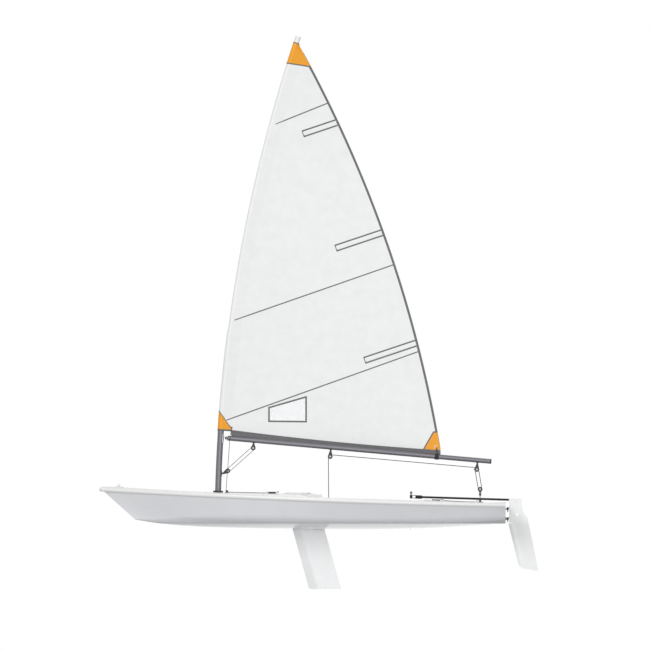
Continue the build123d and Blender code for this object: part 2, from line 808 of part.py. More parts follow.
def gooseneck():
    """Saddle riveted to the back of the mast, with two ears and the pin that carries the boom."""
    plane = mast_plane(mast_height_at(BOOM_FRONT_RISE) - 45)
    saddle = extrude(
        plane * (Circle(MAST_RADIUS + SEAT_GAP + 4) - Circle(MAST_RADIUS + SEAT_GAP)), amount=90
    )
    centre = boom_point(-22)
    saddle = saddle & box_between(
        (centre.X - 40, -24, centre.Z - 60), (GOOSENECK.origin.X - 14, 24, centre.Z + 60)
    )
    ears = []
    for height in (-20.0, 12.0):
        ear = box_between(
            (centre.X, -10, centre.Z + height),
            (GOOSENECK.origin.X - MAST_RADIUS - 1.5, 10, centre.Z + height + 8),
        )
        ear += Pos(centre.X, 0, centre.Z + height) * Cylinder(
            10, 8, align=(Align.CENTER, Align.CENTER, Align.MIN)
        )
        ears.append(ear)
    pin = Pos(centre.X, 0, centre.Z) * Cylinder(GOOSENECK_PIN, 46)
    return saddle + ears[0] + ears[1] + pin - mast_clearance(mast_height_at(BOOM_FRONT_RISE))


def block(centre, head, spin=0.0):
    """A single pulley block: two cheeks, a grooved sheave on its pin, and a strap up to its head.

    The sheave turns about Y, or about X where spin is 90. Head is the point it hangs from.
    """
    centre, head = Vector(*centre), Vector(*head)
    away = head - centre
    lean = degrees(atan2(away.X, away.Z)) if spin == 0 else 0.0
    length = away.length
    half = SHEAVE_WIDTH / 2
    cheek = make_hull([*Circle(BLOCK_RADIUS).edges(), *(Pos(0, length) * Circle(9)).edges()])
    plane = Plane(origin=(0, half + 1, 0), x_dir=(1, 0, 0), z_dir=(0, -1, 0))
    plate = extrude(plane * cheek, amount=-CHEEK_PLATE)
    plates = plate + mirror(plate, about=Plane.XZ)
    groove = make_face(
        [
            Edge.make_line((0, -half), (SHEAVE_RADIUS, -half)),
            Edge.make_three_point_arc(
                (SHEAVE_RADIUS, -half), (SHEAVE_RADIUS - 5, 0), (SHEAVE_RADIUS, half)
            ),
            Edge.make_line((SHEAVE_RADIUS, half), (0, half)),
            Edge.make_line((0, half), (0, -half)),
        ]
    )
    sheave = revolve(groove, axis=Axis.Y)
    pin = Rot(90, 0, 0) * Cylinder(5, SHEAVE_WIDTH + 2 * CHEEK_PLATE + 6)
    bolt = Pos(0, 0, length) * Rot(90, 0, 0) * Cylinder(5, SHEAVE_WIDTH + 2 * CHEEK_PLATE + 4)
    body = plates + sheave + pin + bolt
    return Pos(*centre) * Rot(0, lean, spin) * body


VANG_UPPER_ALONG = 272.0
VANG_LOWER_RISE = 609.0
MID_BLOCK_ALONG = 1078.0
END_BLOCK_ALONG = BOOM_LENGTH - 130.0
BLOCK_DROP = 97.0
VANG_DROP = 79.0


def hanging_block(distance, drop):
    """A block slung under the boom from a strap and eye riveted to it."""
    centre = boom_point(distance, drop)
    head = boom_point(distance, BOOM_RADIUS + 12)
    saddle = Pos(*boom_point(distance)) * Rot(0, 90 - BOOM_DROOP, 0) * (
        Cylinder(BOOM_RADIUS + SEAT_GAP + 3, 26) - Cylinder(BOOM_RADIUS + SEAT_GAP, 60)
    )
    under = box_between(
        (head.X - 40, -19, head.Z - 16), (head.X + 40, 19, boom_point(distance).Z - 8)
    )
    lug = Pos(head.X, 0, head.Z + 5) * Box(16, SHEAVE_WIDTH - 1, 24)
    strap = (saddle & under) + (lug - rod(boom_point(0), boom_point(BOOM_LENGTH), BOOM_RADIUS + 1))
    return block(centre, head) + strap


def vang_lower():
    """Lower vang block, held by a tang on the back of the mast."""
    foot = mast_plane(mast_height_at(VANG_LOWER_RISE - 30)).origin
    centre = Vector(foot.X - MAST_RADIUS - 63, 0, foot.Z + 27)
    head = Vector(foot.X - MAST_RADIUS - 14, 0, foot.Z)
    tang = box_between(
        (head.X - 8, -6, head.Z - 8), (foot.X - MAST_RADIUS - 1.5, 6, head.Z + 8)
    )
    plate = extrude(
        mast_plane(mast_height_at(VANG_LOWER_RISE - 30) - 30)
        * (Circle(MAST_RADIUS + SEAT_GAP + 3) - Circle(MAST_RADIUS + SEAT_GAP)),
        amount=60,
    ) & box_between(
        (foot.X - 60, -16, foot.Z - 60), (foot.X - 10, 16, foot.Z + 60)
    )
    return block(centre, head) + (tang + plate - mast_clearance(mast_height_at(VANG_LOWER_RISE)))


def clew_strap():
    """Webbing strap that ties the clew down to the boom."""
    distance = (BOOM_FRONT.X - (CLEW.x + 40)) / cos(BOOM_SLOPE)
    plane = boom_plane(distance)
    ring = Circle(BOOM_RADIUS + 3.5) - Circle(BOOM_RADIUS + SEAT_GAP)
    return extrude(plane * ring, amount=22, both=True)


# Rudder

PINTLE_X = TRANSOM_X - PINTLE_OFFSET
SPINE_X = PINTLE_X - 14.0
HEAD_GAP = BLADE_THICKNESS / 2 + BLADE_SIDE_GAP
HEAD_HALF = HEAD_GAP + CHEEK_THICKNESS
GUDGEON_RISES = (96.0, 200.0)
GUDGEON_HEIGHT = 14.0
PIVOT = Point(SPINE_X - HEAD_SPINE_DEPTH - 54.0, 152.0)
PIVOT_RADIUS = 6.0
BLADE_LOBE = 46.0


def gudgeons():
    """Two transom brackets, each a plate with a bored lug."""
    solids = []
    for rise in GUDGEON_RISES:
        z = up(rise)
        face_x = TRANSOM_X - SEAT_GAP
        plate = box_between((face_x - 4, -30, z), (face_x, 30, z + GUDGEON_HEIGHT))
        lug = box_between((PINTLE_X, -11, z), (TRANSOM_X - 2, 11, z + GUDGEON_HEIGHT))
        lug += Pos(PINTLE_X, 0, z) * Cylinder(
            11, GUDGEON_HEIGHT, align=(Align.CENTER, Align.CENTER, Align.MIN)
        )
        bore = Pos(PINTLE_X, 0, z) * Cylinder(PINTLE_RADIUS + PINTLE_GAP, 80)
        solids.append(plate + lug - bore)
    return solids


def pintles():
    """Two straps on the rudder head, each with a pin that drops into its gudgeon."""
    solids = []
    for rise in GUDGEON_RISES:
        top = up(rise) + GUDGEON_HEIGHT + PINTLE_GAP
        strap = box_between((SPINE_X, -11, top), (PINTLE_X, 11, top + 12))
        strap += Pos(PINTLE_X, 0, top) * Cylinder(
            11, 12, align=(Align.CENTER, Align.CENTER, Align.MIN)
        )
        pin = Pos(PINTLE_X, 0, top + 6) * Cylinder(
            PINTLE_RADIUS, 42, align=(Align.CENTER, Align.CENTER, Align.MAX)
        )
        solids.append(strap + pin)
    return solids


def head_outline():
    """Side outline of the rudder head's cheeks."""
    return [
        (SPINE_X, up(HEAD_TOP_RISE)),
        (SPINE_X, up(HEAD_FOOT_RISE)),
        (SPINE_X - 105, up(HEAD_FOOT_RISE)),
        (SPINE_X - 141, up(187)),
        (SPINE_X - 132, up(HEAD_TOP_RISE)),
    ]


TILLER_SLOPE = radians(TILLER_CLIMB)
TILLER_FORWARD = Vector(cos(TILLER_SLOPE), 0, sin(TILLER_SLOPE))
TILLER_HEEL = Vector(SPINE_X - 128, 0, up(TILLER_RISE) - 136 * tan(TILLER_SLOPE))


def rudder_head():
    """Two cheeks joined by a spine at the front and a socket block round the tiller."""
    cheeks = side_prism(head_outline(), HEAD_GAP, HEAD_HALF) + side_prism(
        head_outline(), -HEAD_HALF, -HEAD_GAP
    )
    spine = box_between(
        (SPINE_X - HEAD_SPINE_DEPTH, -HEAD_GAP, up(HEAD_FOOT_RISE)),
        (SPINE_X, HEAD_GAP, up(HEAD_TOP_RISE)),
    )
    socket = side_prism(
        [
            (SPINE_X, up(TILLER_RISE - SOCKET_DEPTH)),
            (SPINE_X, up(HEAD_TOP_RISE)),
            (SPINE_X - 132, up(HEAD_TOP_RISE)),
            (SPINE_X - 135, up(TILLER_RISE - SOCKET_DEPTH)),
        ],
        -HEAD_GAP,
        HEAD_GAP,
    )
    bore = rod(
        TILLER_HEEL - TILLER_FORWARD * 20,
        TILLER_HEEL + TILLER_FORWARD * 400,
        TILLER_RADIUS + SEAT_GAP,
    )
    hole = Pos(PIVOT.x, 0, up(PIVOT.rise)) * Rot(90, 0, 0) * Cylinder(
        PIVOT_RADIUS + SEAT_GAP, 4 * HEAD_HALF
    )
    return cheeks + spine + socket - bore - hole


def rudder_bolt():
    """Pivot bolt of the blade with a cap each side."""
    shank = Rot(90, 0, 0) * Cylinder(PIVOT_RADIUS, 2 * HEAD_HALF + 4)
    caps = [
        Pos(0, side * (HEAD_HALF + SEAT_GAP + 2.5), 0) * Rot(90, 0, 0) * Cylinder(12, 5)
        for side in (-1, 1)
    ]
    return Pos(PIVOT.x, 0, up(PIVOT.rise)) * (shank + caps[0] + caps[1])


BLADE_RAKE = 12.6
BLADE_LEAD = Point(TRANSOM_X - 27.0, 60.0)
BLADE_TIP_FRONT = Point(TRANSOM_X - 144.0, -406.0)
BLADE_TIP_BACK = Point(TRANSOM_X - 343.0, -437.0)
BLADE_SHOULDER = Point(TRANSOM_X - 229.0, 112.0)
BLADE_HEEL = Point(TRANSOM_X - 176.0, 187.0)
BLADE_TIP_RADIUS = 80.0


def rudder_blade():
    """Kick-up blade: straight raked edges, a rounded front corner and a lobe round its pivot."""
    pivot = (PIVOT.x, up(PIVOT.rise))
    outline = [
        (SPINE_X - HEAD_SPINE_DEPTH - 6, pivot[1] - 28),
        (SPINE_X - HEAD_SPINE_DEPTH - 6, up(HEAD_FOOT_RISE - 4)),
        (BLADE_LEAD.x, up(BLADE_LEAD.rise)),
        (BLADE_TIP_FRONT.x, up(BLADE_TIP_FRONT.rise)),
        (BLADE_TIP_BACK.x, up(BLADE_TIP_BACK.rise)),
        (BLADE_SHOULDER.x, up(BLADE_SHOULDER.rise)),
        (BLADE_HEEL.x, up(BLADE_HEEL.rise)),
        (PIVOT.x, pivot[1] + BLADE_LOBE),
    ]
    face = make_face(Polyline(*outline, close=True))
    corner = face.vertices().sort_by_distance((outline[3][0], outline[3][1], 0))[:1]
    face = fillet(corner, BLADE_TIP_RADIUS)
    face += Pos(*pivot) * Circle(BLADE_LOBE)
    keep = Pos(0, -BLADE_THICKNESS, 0) * extrude(side_plane() * face, amount=-2 * BLADE_THICKNESS)
    tilt = radians(BLADE_RAKE)
    middle = Vector(
        (BLADE_TIP_FRONT.x + BLADE_TIP_BACK.x) / 2 - 12, 0, up(BLADE_TIP_BACK.rise) - 60
    )
    upward = Vector(sin(tilt), 0, cos(tilt))
    chord = 236.0
    plane = Plane(origin=middle, x_dir=(cos(tilt), 0, -sin(tilt)), z_dir=upward)
    plate_low = up(HEAD_FOOT_RISE - 14)
    climb = (plate_low + 20 - middle.Z + chord / 2 * sin(tilt)) / cos(tilt)
    foil = extrude(plane * foil_face(chord, BLADE_THICKNESS, 4.0), amount=climb)
    plate = box_between(
        (PIVOT.x - 200, -BLADE_THICKNESS / 2, plate_low),
        (PIVOT.x + 200, BLADE_THICKNESS / 2, plate_low + 400),
    )
    hole = Pos(PIVOT.x, 0, pivot[1]) * Rot(90, 0, 0) * Cylinder(PIVOT_RADIUS + SEAT_GAP, 100)
    return ((foil + plate) & keep) - hole


TILLER_FRONT = TILLER_HEEL + TILLER_FORWARD * (TILLER_REACH + 100)
JOINT_OVERLAP = 40.0
JOINT_BODY = 30.0
FORK_LENGTH = 44.0
FORK_PLATE = 6.0
SWIVEL_RADIUS = 5.0
BOSS_RADIUS = 14.0
BOSS_HALF = 10.0
FORK_GAP = 0.6
SWIVEL = TILLER_FRONT + TILLER_FORWARD * (JOINT_BODY + FORK_LENGTH)


def tiller():
    """Tiller tube through the rudder head, forward over the after deck."""
    return tube(TILLER_HEEL, TILLER_FRONT, TILLER_RADIUS, TILLER_WALL)


def tiller_joint():
    """Rubber end of the tiller with the fork and pin that carry the extension."""
    back = TILLER_FRONT - TILLER_FORWARD * JOINT_OVERLAP
    front = TILLER_FRONT + TILLER_FORWARD * JOINT_BODY
    body = rod(back, front, TILLER_GRIP_RADIUS)
    body -= rod(
        back - TILLER_FORWARD, TILLER_FRONT + TILLER_FORWARD * SEAT_GAP, TILLER_RADIUS + SEAT_GAP
    )
    plates = []
    for low in (-BOSS_HALF - FORK_GAP - FORK_PLATE, BOSS_HALF + FORK_GAP):
        outline = Pos(-FORK_LENGTH / 2 - 3, 0) * Rectangle(FORK_LENGTH + 6, 2 * BOSS_RADIUS)
        plate = extrude(outline + Circle(BOSS_RADIUS), amount=FORK_PLATE)
        plates.append(Pos(SWIVEL.X, 0, SWIVEL.Z + low) * plate)
    pin = Pos(*SWIVEL) * Cylinder(SWIVEL_RADIUS, 2 * (BOSS_HALF + FORK_GAP + FORK_PLATE) + 4)
    return body + plates[0] + plates[1] + pin


EXTENSION_SLOPE = radians(EXTENSION_CLIMB)
EXTENSION_WAY = Vector(0, -cos(EXTENSION_SLOPE), sin(EXTENSION_SLOPE))


def tiller_extension():
    """Extension tube and its bored boss, lying across the boat to starboard."""
    boss = Pos(*SWIVEL) * Cylinder(BOSS_RADIUS, 2 * BOSS_HALF)
    bar = rod(SWIVEL, SWIVEL + EXTENSION_WAY * EXTENSION_LENGTH, EXTENSION_RADIUS)
    return boss + bar - Pos(*SWIVEL) * Cylinder(SWIVEL_RADIUS + PINTLE_GAP, 80)


def extension_grip():
    """Soft grip over the outer end of the extension."""
    end = SWIVEL + EXTENSION_WAY * (EXTENSION_LENGTH + 4)
    start = SWIVEL + EXTENSION_WAY * (EXTENSION_LENGTH - EXTENSION_GRIP_LENGTH)
    grip = rod(start, end, EXTENSION_RADIUS + EXTENSION_GRIP_WALL)
    return grip - rod(start - EXTENSION_WAY, end - EXTENSION_WAY * 4, EXTENSION_RADIUS)


# Deck fittings


def deck_top(deck, x, y=0.0):
    """Height of the deck's upper surface at a point."""
    probe = box_between((x - 1, y - 1, up(0)), (x + 1, y + 1, HIGH))
    return (deck & probe).bounding_box().max.Z


def seated(fitting, deck):
    """A fitting with its underside shaped to the deck that it stands on."""
    return (fitting - deck).solids().sort_by(SortBy.VOLUME)[-1]


def plate_on(x, y, z, length, width, height):
    """A plate with round ends that starts below the deck and rises above it by its height."""
    outline = RectangleRounded(length, width, min(length, width) * 0.45)
    return Pos(x, y, z - PLATE_ROOT) * extrude(outline, amount=height + PLATE_ROOT)


PLATE_ROOT = 12.0


def bow_eye(deck):
    """Bow plate with an upright lug, bored across the boat for a painter."""
    z = deck_top(deck, BOW_EYE_X)
    lug_half, top = BOW_EYE_LUG / 2, z + BOW_EYE_HEIGHT
    lug = box_between((BOW_EYE_X - 15, -lug_half, z), (BOW_EYE_X + 15, lug_half, top - 13))
    lug += Pos(BOW_EYE_X, 0, top - 13) * Rot(90, 0, 0) * Cylinder(13, BOW_EYE_LUG)
    plate = plate_on(BOW_EYE_X, 0, z, BOW_EYE_LENGTH, 32, 4)
    bore = Pos(BOW_EYE_X, 0, top - 13) * Rot(90, 0, 0) * Cylinder(BOW_EYE_BORE, 90)
    return seated(plate + lug - bore, deck)


def clam_cleat(x, y, z, length, height):
    """A fluted rope cleat: a low block with a groove along it."""
    base = plate_on(x, y, z, length, 22, height)
    return base - Pos(x, y, z + height) * Rot(0, 90, 0) * Cylinder(5, length + 10)


def control_cleats(deck):
    """Plate with two rope cleats for the sail controls."""
    z = deck_top(deck, CLEATS_X)
    plate = plate_on(CLEATS_X, 0, z, 88, 92, 5)
    for side in (-1, 1):
        plate += clam_cleat(CLEATS_X, side * 24, z + 3, 76, 13)
    return seated(plate, deck)


def turning_blocks(deck):
    """Plate behind the mast with two small cheek pulleys for the control lines."""
    x = MAST_FOOT_X - TURNING_BLOCK_GAP
    z = deck_top(deck, x)
    plate = plate_on(x, 0, z, 44, 84, 4)
    for side in (-1, 1):
        plate += Pos(x, side * 24, z + 12) * Rot(90, 0, 0) * Cylinder(13, 14)
        plate -= Pos(x, side * 24, z + 12) * Rot(90, 0, 0) * (Cylinder(20, 4) - Cylinder(9, 4))
    return seated(plate, deck)


def mast_ring(deck):
    """Collar on the deck round the mast's socket."""
    low = MAST_FOOT - MAST_AXIS * 20
    ring = tube(low, MAST_FOOT + MAST_AXIS * 12, MAST_RING_RADIUS, MAST_RING_RADIUS - MAST_PARTNER_GAP)
    return seated(ring, deck)


def traveller_fairleads(deck):
    """Two tall eyes on the after deck that the traveller line runs through."""
    solids = []
    for side in (-1, 1):
        y = side * FAIRLEAD_HALF_SPAN
        z = deck_top(deck, TRAVELLER_X, y)
        eye = plate_on(TRAVELLER_X, y, z, 64, 24, 5)
        eye += box_between((TRAVELLER_X - 11, y - 6, z), (TRAVELLER_X + 11, y + 6, z + FAIRLEAD_HEIGHT))
        eye += Pos(TRAVELLER_X, y, z + FAIRLEAD_HEIGHT) * Rot(90, 0, 0) * Cylinder(11, 12)
        solids.append(seated(eye, deck))
    return solids


def traveller_rope(deck, block_pair, fairleads):
    """The traveller line, from eye to eye over the lower sheave."""
    z = deck_top(deck, TRAVELLER_X, FAIRLEAD_HALF_SPAN) + FAIRLEAD_HEIGHT
    top = (TRAVELLER_X, 0, up(TRAVELLER_RISE) + SHEAVE_RADIUS - 5 + ROPE_RADIUS)
    legs = [
        rod((TRAVELLER_X, side * FAIRLEAD_HALF_SPAN, z), top, ROPE_RADIUS) for side in (-1, 1)
    ]
    rope = [leg - block_pair - fairleads[0] - fairleads[1] for leg in legs]
    return [leg.solids().sort_by(SortBy.VOLUME)[-1] for leg in rope]


def traveller_block():
    """Lower mainsheet block joined to the traveller sheave under it."""
    low = (TRAVELLER_X, 0, up(TRAVELLER_RISE))
    high = (TRAVELLER_X, 0, up(TRAVELLER_RISE) + TRAVELLER_LINK)
    middle = (TRAVELLER_X, 0, up(TRAVELLER_RISE) + TRAVELLER_LINK / 2)
    return block(low, middle, 90) + block(high, middle)


def ratchet_block():
    """Mainsheet block standing on the cockpit step on a sprung swivel."""
    x = STEP_END + RATCHET_FROM_STEP_END
    z = up(BLOCK_STEP_RISE)
    base = Pos(x, 0, z) * Cylinder(26, 8, align=(Align.CENTER, Align.CENTER, Align.MIN))
    post = Pos(x, 0, z) * Cylinder(9, 30, align=(Align.CENTER, Align.CENTER, Align.MIN))
    return base + post + block((x, 0, z + 62), (x, 0, z + 30))


STRAP_Z = up(SOLE_RISE) + 78.0


def hiking_strap():
    """Webbing strap along the cockpit, with a sewn tab against the wall at each end."""
    low, top = STRAP_Z, STRAP_Z + STRAP_THICKNESS
    bottom, peak = low - 50, top + 45
    profile = [
        (STEP_END, top),
        (STEP_END, bottom),
        (STEP_END - STRAP_THICKNESS, bottom),
        (STEP_END - STRAP_THICKNESS, low),
        (COCKPIT_AFT, low),
        (COCKPIT_AFT, peak),
        (COCKPIT_AFT + STRAP_THICKNESS, peak),
        (COCKPIT_AFT + STRAP_THICKNESS, top),
    ]
    return side_prism(profile, -STRAP_WIDTH / 2, STRAP_WIDTH / 2)


def grab_rails():
    """Two hand rails on the cockpit's side walls."""
    solids = []
    z = up(RAIL_RISE)
    middle = (COCKPIT_AFT + COCKPIT_FRONT) / 2
    for side in (-1, 1):
        wall = side * COCKPIT_WIDTH / 2
        y = wall - side * RAIL_STANDOFF
        bar = rod((middle - RAIL_LENGTH / 2, y, z), (middle + RAIL_LENGTH / 2, y, z), RAIL_RADIUS)
        for share in (-0.45, 0.0, 0.45):
            x = middle + share * RAIL_LENGTH
            bar += rod((x, y, z), (x, wall, z), RAIL_RADIUS * 0.8)
        solids.append(bar)
    return solids


def bailer_box(margin):
    """Box of the bailer's plate in the hull's bottom, grown by a margin."""
    x = COCKPIT_AFT + BAILER_FROM_AFT
    half_length, half_width = BAILER_LENGTH / 2 + margin, BAILER_WIDTH / 2 + margin
    return box_between(
        (x - half_length, -half_width, up(-BAILER_STANDOUT)),
        (x + half_length, half_width, up(BAILER_DEPTH)),
    )


def drain_bung():
    """Round screw plug low in the transom."""
    plug = Rot(0, 90, 0) * Cylinder(16, 6) + Pos(-5, 0, 0) * Box(6, 22, 6)
    return Pos(TRANSOM_X - 3, -70, up(110)) * plug


# Assembly


def write(name, shape):
    """One STEP file for a named piece; several separate solids go in as one compound."""
    if isinstance(shape, (list, tuple)):
        shape = Compound(children=list(shape))
    export_step(shape, os.path.join("parts", f"{name}.step"))


def sail_pieces():
    """The sail, divided into cloth, corner patches, batten pockets, window and foot band."""
    form = sail_form(SAIL_THICKNESS)
    band_cut = sail_prism(foot_band_outline())
    band = form & band_cut
    rest = form - band_cut
    patches = []
    for points in PATCHES.values():
        region = patch_prism(points)
        patches.append((rest & region).solids().sort_by(SortBy.VOLUME)[-1])
        rest = rest - region
    thick = bent(cambered_strip(POCKET_THICKNESS), SAIL_START, MAST_TIP)
    thick = thick & sail_prism(sail_outline())
    pockets = []
    for batten in BATTENS:
        region = batten_region(batten)
        pockets.append((thick & region).solids().sort_by(SortBy.VOLUME)[-1])
        rest = rest - region
    region = patch_prism(WINDOW)
    window = rest & region
    rest = rest - region
    return {
        "sail": rest,
        "sail_foot_band": band,
        "sail_corner_patches": patches,
        "sail_batten_pockets": pockets,
        "sail_window": window,
    }


def main():
    os.makedirs("parts", exist_ok=True)
    blank = deck_blank()
    shell = loft([hull_section(s) for s in STATIONS])
    tub_z = up(SOLE_RISE - COCKPIT_WALL)
    tub = cockpit_prism(COCKPIT_WALL, tub_z) & shell
    slot, bore = board_slot(), mast_bore()
    deck = blank + tub - cockpit_well() - slot - bore
    hull = shell - blank - cockpit_prism(COCKPIT_WALL, tub_z) - slot - bore - bailer_box(0)
    pair = traveller_block()
    fairleads = traveller_fairleads(deck)
    edge_y = BOARD_STOP_WIDTH / 2 - 4
    board_seat = max(deck_top(deck, BOARD_DECK_X + d, edge_y) for d in (-80, 0, 80, 120))
    pieces = {
        "hull": hull,
        "deck": deck,
        "mast_ring": mast_ring(deck),
        "bow_eye": bow_eye(deck),
        "control_cleats": control_cleats(deck),
        "turning_blocks": turning_blocks(deck),
        "traveller_fairleads": fairleads,
        "traveller_rope": traveller_rope(deck, pair, fairleads),
        "traveller_block": pair,
        "traveller_cleat": seated(
            clam_cleat(
                TRAVELLER_CLEAT_X, 0, deck_top(deck, TRAVELLER_CLEAT_X), 66, TRAVELLER_CLEAT_HEIGHT
            ),
            deck,
        ),
        "ratchet_block": ratchet_block(),
        "hiking_strap": hiking_strap(),
        "grab_rails": grab_rails(),
        "self_bailer": bailer_box(0) - cockpit_prism(COCKPIT_WALL, tub_z),
        "drain_bung": drain_bung(),
        "gudgeons": gudgeons(),
        "mast_lower": mast_lower(),
        "mast_upper": mast_upper(),
        "mast_collar": mast_collar(),
        "gooseneck": gooseneck(),
        "boom": boom(),
        "boom_plug": boom_plug(),
        "boom_cap": boom_cap(),
        "vang_upper_block": hanging_block(VANG_UPPER_ALONG, VANG_DROP),
        "vang_lower_block": vang_lower(),
        "boom_mid_block": hanging_block(MID_BLOCK_ALONG, BLOCK_DROP),
        "boom_end_block": hanging_block(END_BLOCK_ALONG, BLOCK_DROP),
        "clew_strap": clew_strap(),
        "rudder_head": rudder_head(),
        "rudder_bolt": rudder_bolt(),
        "pintles": pintles(),
        "tiller": tiller(),
        "tiller_joint": tiller_joint(),
        "rudder_blade": rudder_blade(),
        "tiller_extension": tiller_extension(),
        "extension_grip": extension_grip(),
        "daggerboard": daggerboard(),
        "daggerboard_stop": daggerboard_stop(board_seat + SEAT_GAP),
    }
    pieces.update(sail_pieces())
    for name, shape in pieces.items():
        write(name, shape)


main()
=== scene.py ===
"""Looks of a single-handed sailing dinghy afloat, dressed over its CAD frame.

Metres. +X points to the bow, +Y to port and +Z up. The floor is the water's level.
"""

import json
import logging
from dataclasses import dataclass, field
from enum import Enum
from math import acos, asin, atan2, ceil, cos, exp, hypot, pi, radians, sin, sqrt, tan
from typing import Callable

import bpy
from mathutils import Matrix, Vector


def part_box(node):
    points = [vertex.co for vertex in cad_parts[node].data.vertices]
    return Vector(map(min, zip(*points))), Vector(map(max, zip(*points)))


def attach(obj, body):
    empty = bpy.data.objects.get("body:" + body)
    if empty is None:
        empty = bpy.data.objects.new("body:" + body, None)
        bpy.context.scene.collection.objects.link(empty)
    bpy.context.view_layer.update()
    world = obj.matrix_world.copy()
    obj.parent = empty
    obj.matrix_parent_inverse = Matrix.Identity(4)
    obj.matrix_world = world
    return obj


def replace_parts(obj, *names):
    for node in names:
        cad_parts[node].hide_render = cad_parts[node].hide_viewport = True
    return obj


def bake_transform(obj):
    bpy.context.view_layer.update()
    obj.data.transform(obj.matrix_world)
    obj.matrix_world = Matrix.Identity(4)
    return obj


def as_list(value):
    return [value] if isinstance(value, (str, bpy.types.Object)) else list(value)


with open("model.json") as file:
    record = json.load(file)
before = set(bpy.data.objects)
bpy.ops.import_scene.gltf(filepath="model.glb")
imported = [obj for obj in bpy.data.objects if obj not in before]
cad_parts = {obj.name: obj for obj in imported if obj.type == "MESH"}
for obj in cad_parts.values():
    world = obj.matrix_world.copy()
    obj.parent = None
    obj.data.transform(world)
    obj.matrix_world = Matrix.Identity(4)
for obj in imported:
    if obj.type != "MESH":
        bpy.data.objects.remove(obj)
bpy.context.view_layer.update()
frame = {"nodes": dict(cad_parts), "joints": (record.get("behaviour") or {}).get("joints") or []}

LOG = logging.getLogger("dinghy")

KEEL_DEPTH = 0.057
PHOTO_SIDE = 650
METRES_PER_PIXEL = 0.01041
PHOTO_CENTRE = (-0.235, 2.067)

BOOM_SLOPE = radians(5.05)
DOWN = Vector((0, 0, -1))
PROBE_HEIGHT = 0.6
WAVE_BAND = pi / 10
SIDES = (("port", 1), ("starboard", -1))

Piece = bpy.types.Object
Tree = bpy.types.NodeTree
Socket = bpy.types.NodeSocket
Spot = tuple[float, float]
Mapping = Callable[[float, float], Vector]
Edge = Callable[[float], float]


def level(rise: float) -> float:
    """Height above the water of a point that lies that far above the keel line."""
    return rise - KEEL_DEPTH


def linear(hex_colour: str) -> tuple[float, float, float, float]:
    """Turn an sRGB hex colour into the linear colour that shaders take.

    Args:
        hex_colour: Six hex digits.

    Returns:
        Red, green, blue and an alpha of one.
    """
    channels = [int(hex_colour[i : i + 2], 16) / 255 for i in (0, 2, 4)]
    curve = [c / 12.92 if c <= 0.04045 else ((c + 0.055) / 1.055) ** 2.4 for c in channels]
    return (curve[0], curve[1], curve[2], 1.0)


def add_node(tree: Tree, kind: str, settings: dict, links: dict) -> bpy.types.Node:
    """Add one shader node with its settings and its incoming links.

    Args:
        tree: Node tree that gets the node.
        kind: Type name of the node.
        settings: Node properties, or input sockets by name or number, and their values.
        links: Output sockets by the name or number of the input that they feed.

    Returns:
        The new node.
    """
    node = tree.nodes.new(kind)
    for name, value in settings.items():
        if isinstance(name, str) and hasattr(node, name):
            setattr(node, name, value)
        else:
            node.inputs[name].default_value = value
    for name, socket in links.items():
        tree.links.new(socket, node.inputs[name])
    return node


def maths(tree: Tree, operation: str, *terms: Socket | float) -> Socket:
    """Add one arithmetic node.

    Args:
        tree: Node tree that gets the node.
        operation: What the node works out.
        terms: Its inputs in order, each a socket or a plain number.

    Returns:
        The node's value.
    """
    plain = {n: term for n, term in enumerate(terms) if not isinstance(term, Socket)}
    linked = {n: term for n, term in enumerate(terms) if isinstance(term, Socket)}
    return add_node(tree, "ShaderNodeMath", {"operation": operation, **plain}, linked).outputs["Value"]


class Pattern(Enum):
    """How a surface was made, which sets the pattern that its nodes draw."""

    POLISHED = "polished in a mould"
    TREAD = "moulded with a non-slip tread"
    DRAWN = "drawn or brushed along one way"
    GRAINED = "moulded in a sparked tool"
    WOVEN = "woven and resin filled"
    BRAIDED = "braided round a core"
    RIBBED = "woven as a narrow band"


@dataclass(frozen=True)
class Finish:
    """One material: its colours, its gloss and the real size of its pattern in millimetres."""

    name: str
    slot: str
    pattern: Pattern
    colour: str
    shade: str
    roughness: float
    size_mm: float
    bump: float
    metallic: float = 0.0
    ior: float = 1.5
    coat: float = 0.0
    sheen: float = 0.0
    alpha: float = 1.0
    stretch: tuple[float, float, float] = (1.0, 1.0, 1.0)


# Polished gelcoat: glassy, with a slow ripple left by its mould.
HULL_GELCOAT = Finish(
    "polished_gelcoat", "hull_gelcoat", Pattern.POLISHED, "F0F1F4", "E6E8EB", 0.14, 240.0, 0.12,
    ior=1.53, coat=0.5,
)
# Moulded gelcoat: polished too, but pebbled where feet and hips need grip.
DECK_GELCOAT = Finish(
    "non_slip_gelcoat", "deck_gelcoat", Pattern.TREAD, "F6F6F5", "E9EAEA", 0.24, 9.0, 0.7, ior=1.53
)
# Clear anodised aluminium tube: satin grey with faint lines along the tube from its drawing die.
MAST_ALLOY = Finish(
    "anodised_mast_tube", "spar_alloy", Pattern.DRAWN, "807E83", "716F75", 0.38, 5.0, 0.15,
    metallic=0.7, stretch=(1.0, 1.0, 0.01),
)
BOOM_ALLOY = Finish(
    "anodised_boom_tube", "spar_alloy", Pattern.DRAWN, "807E83", "716F75", 0.38, 5.0, 0.15,
    metallic=0.7, stretch=(0.01, 1.0, 1.0),
)
TILLER_ALLOY = Finish(
    "black_anodised_tube", "spar_alloy", Pattern.DRAWN, "2B2B2F", "1F1F23", 0.4, 4.0, 0.15,
    metallic=0.6, stretch=(0.01, 1.0, 1.0),
)
# Brushed stainless steel: bright with short scratches.
STAINLESS = Finish(
    "brushed_stainless", "stainless", Pattern.DRAWN, "C9CACC", "A9AAAE", 0.26, 2.5, 0.15,
    metallic=1.0, stretch=(0.1, 1.0, 1.0),
)
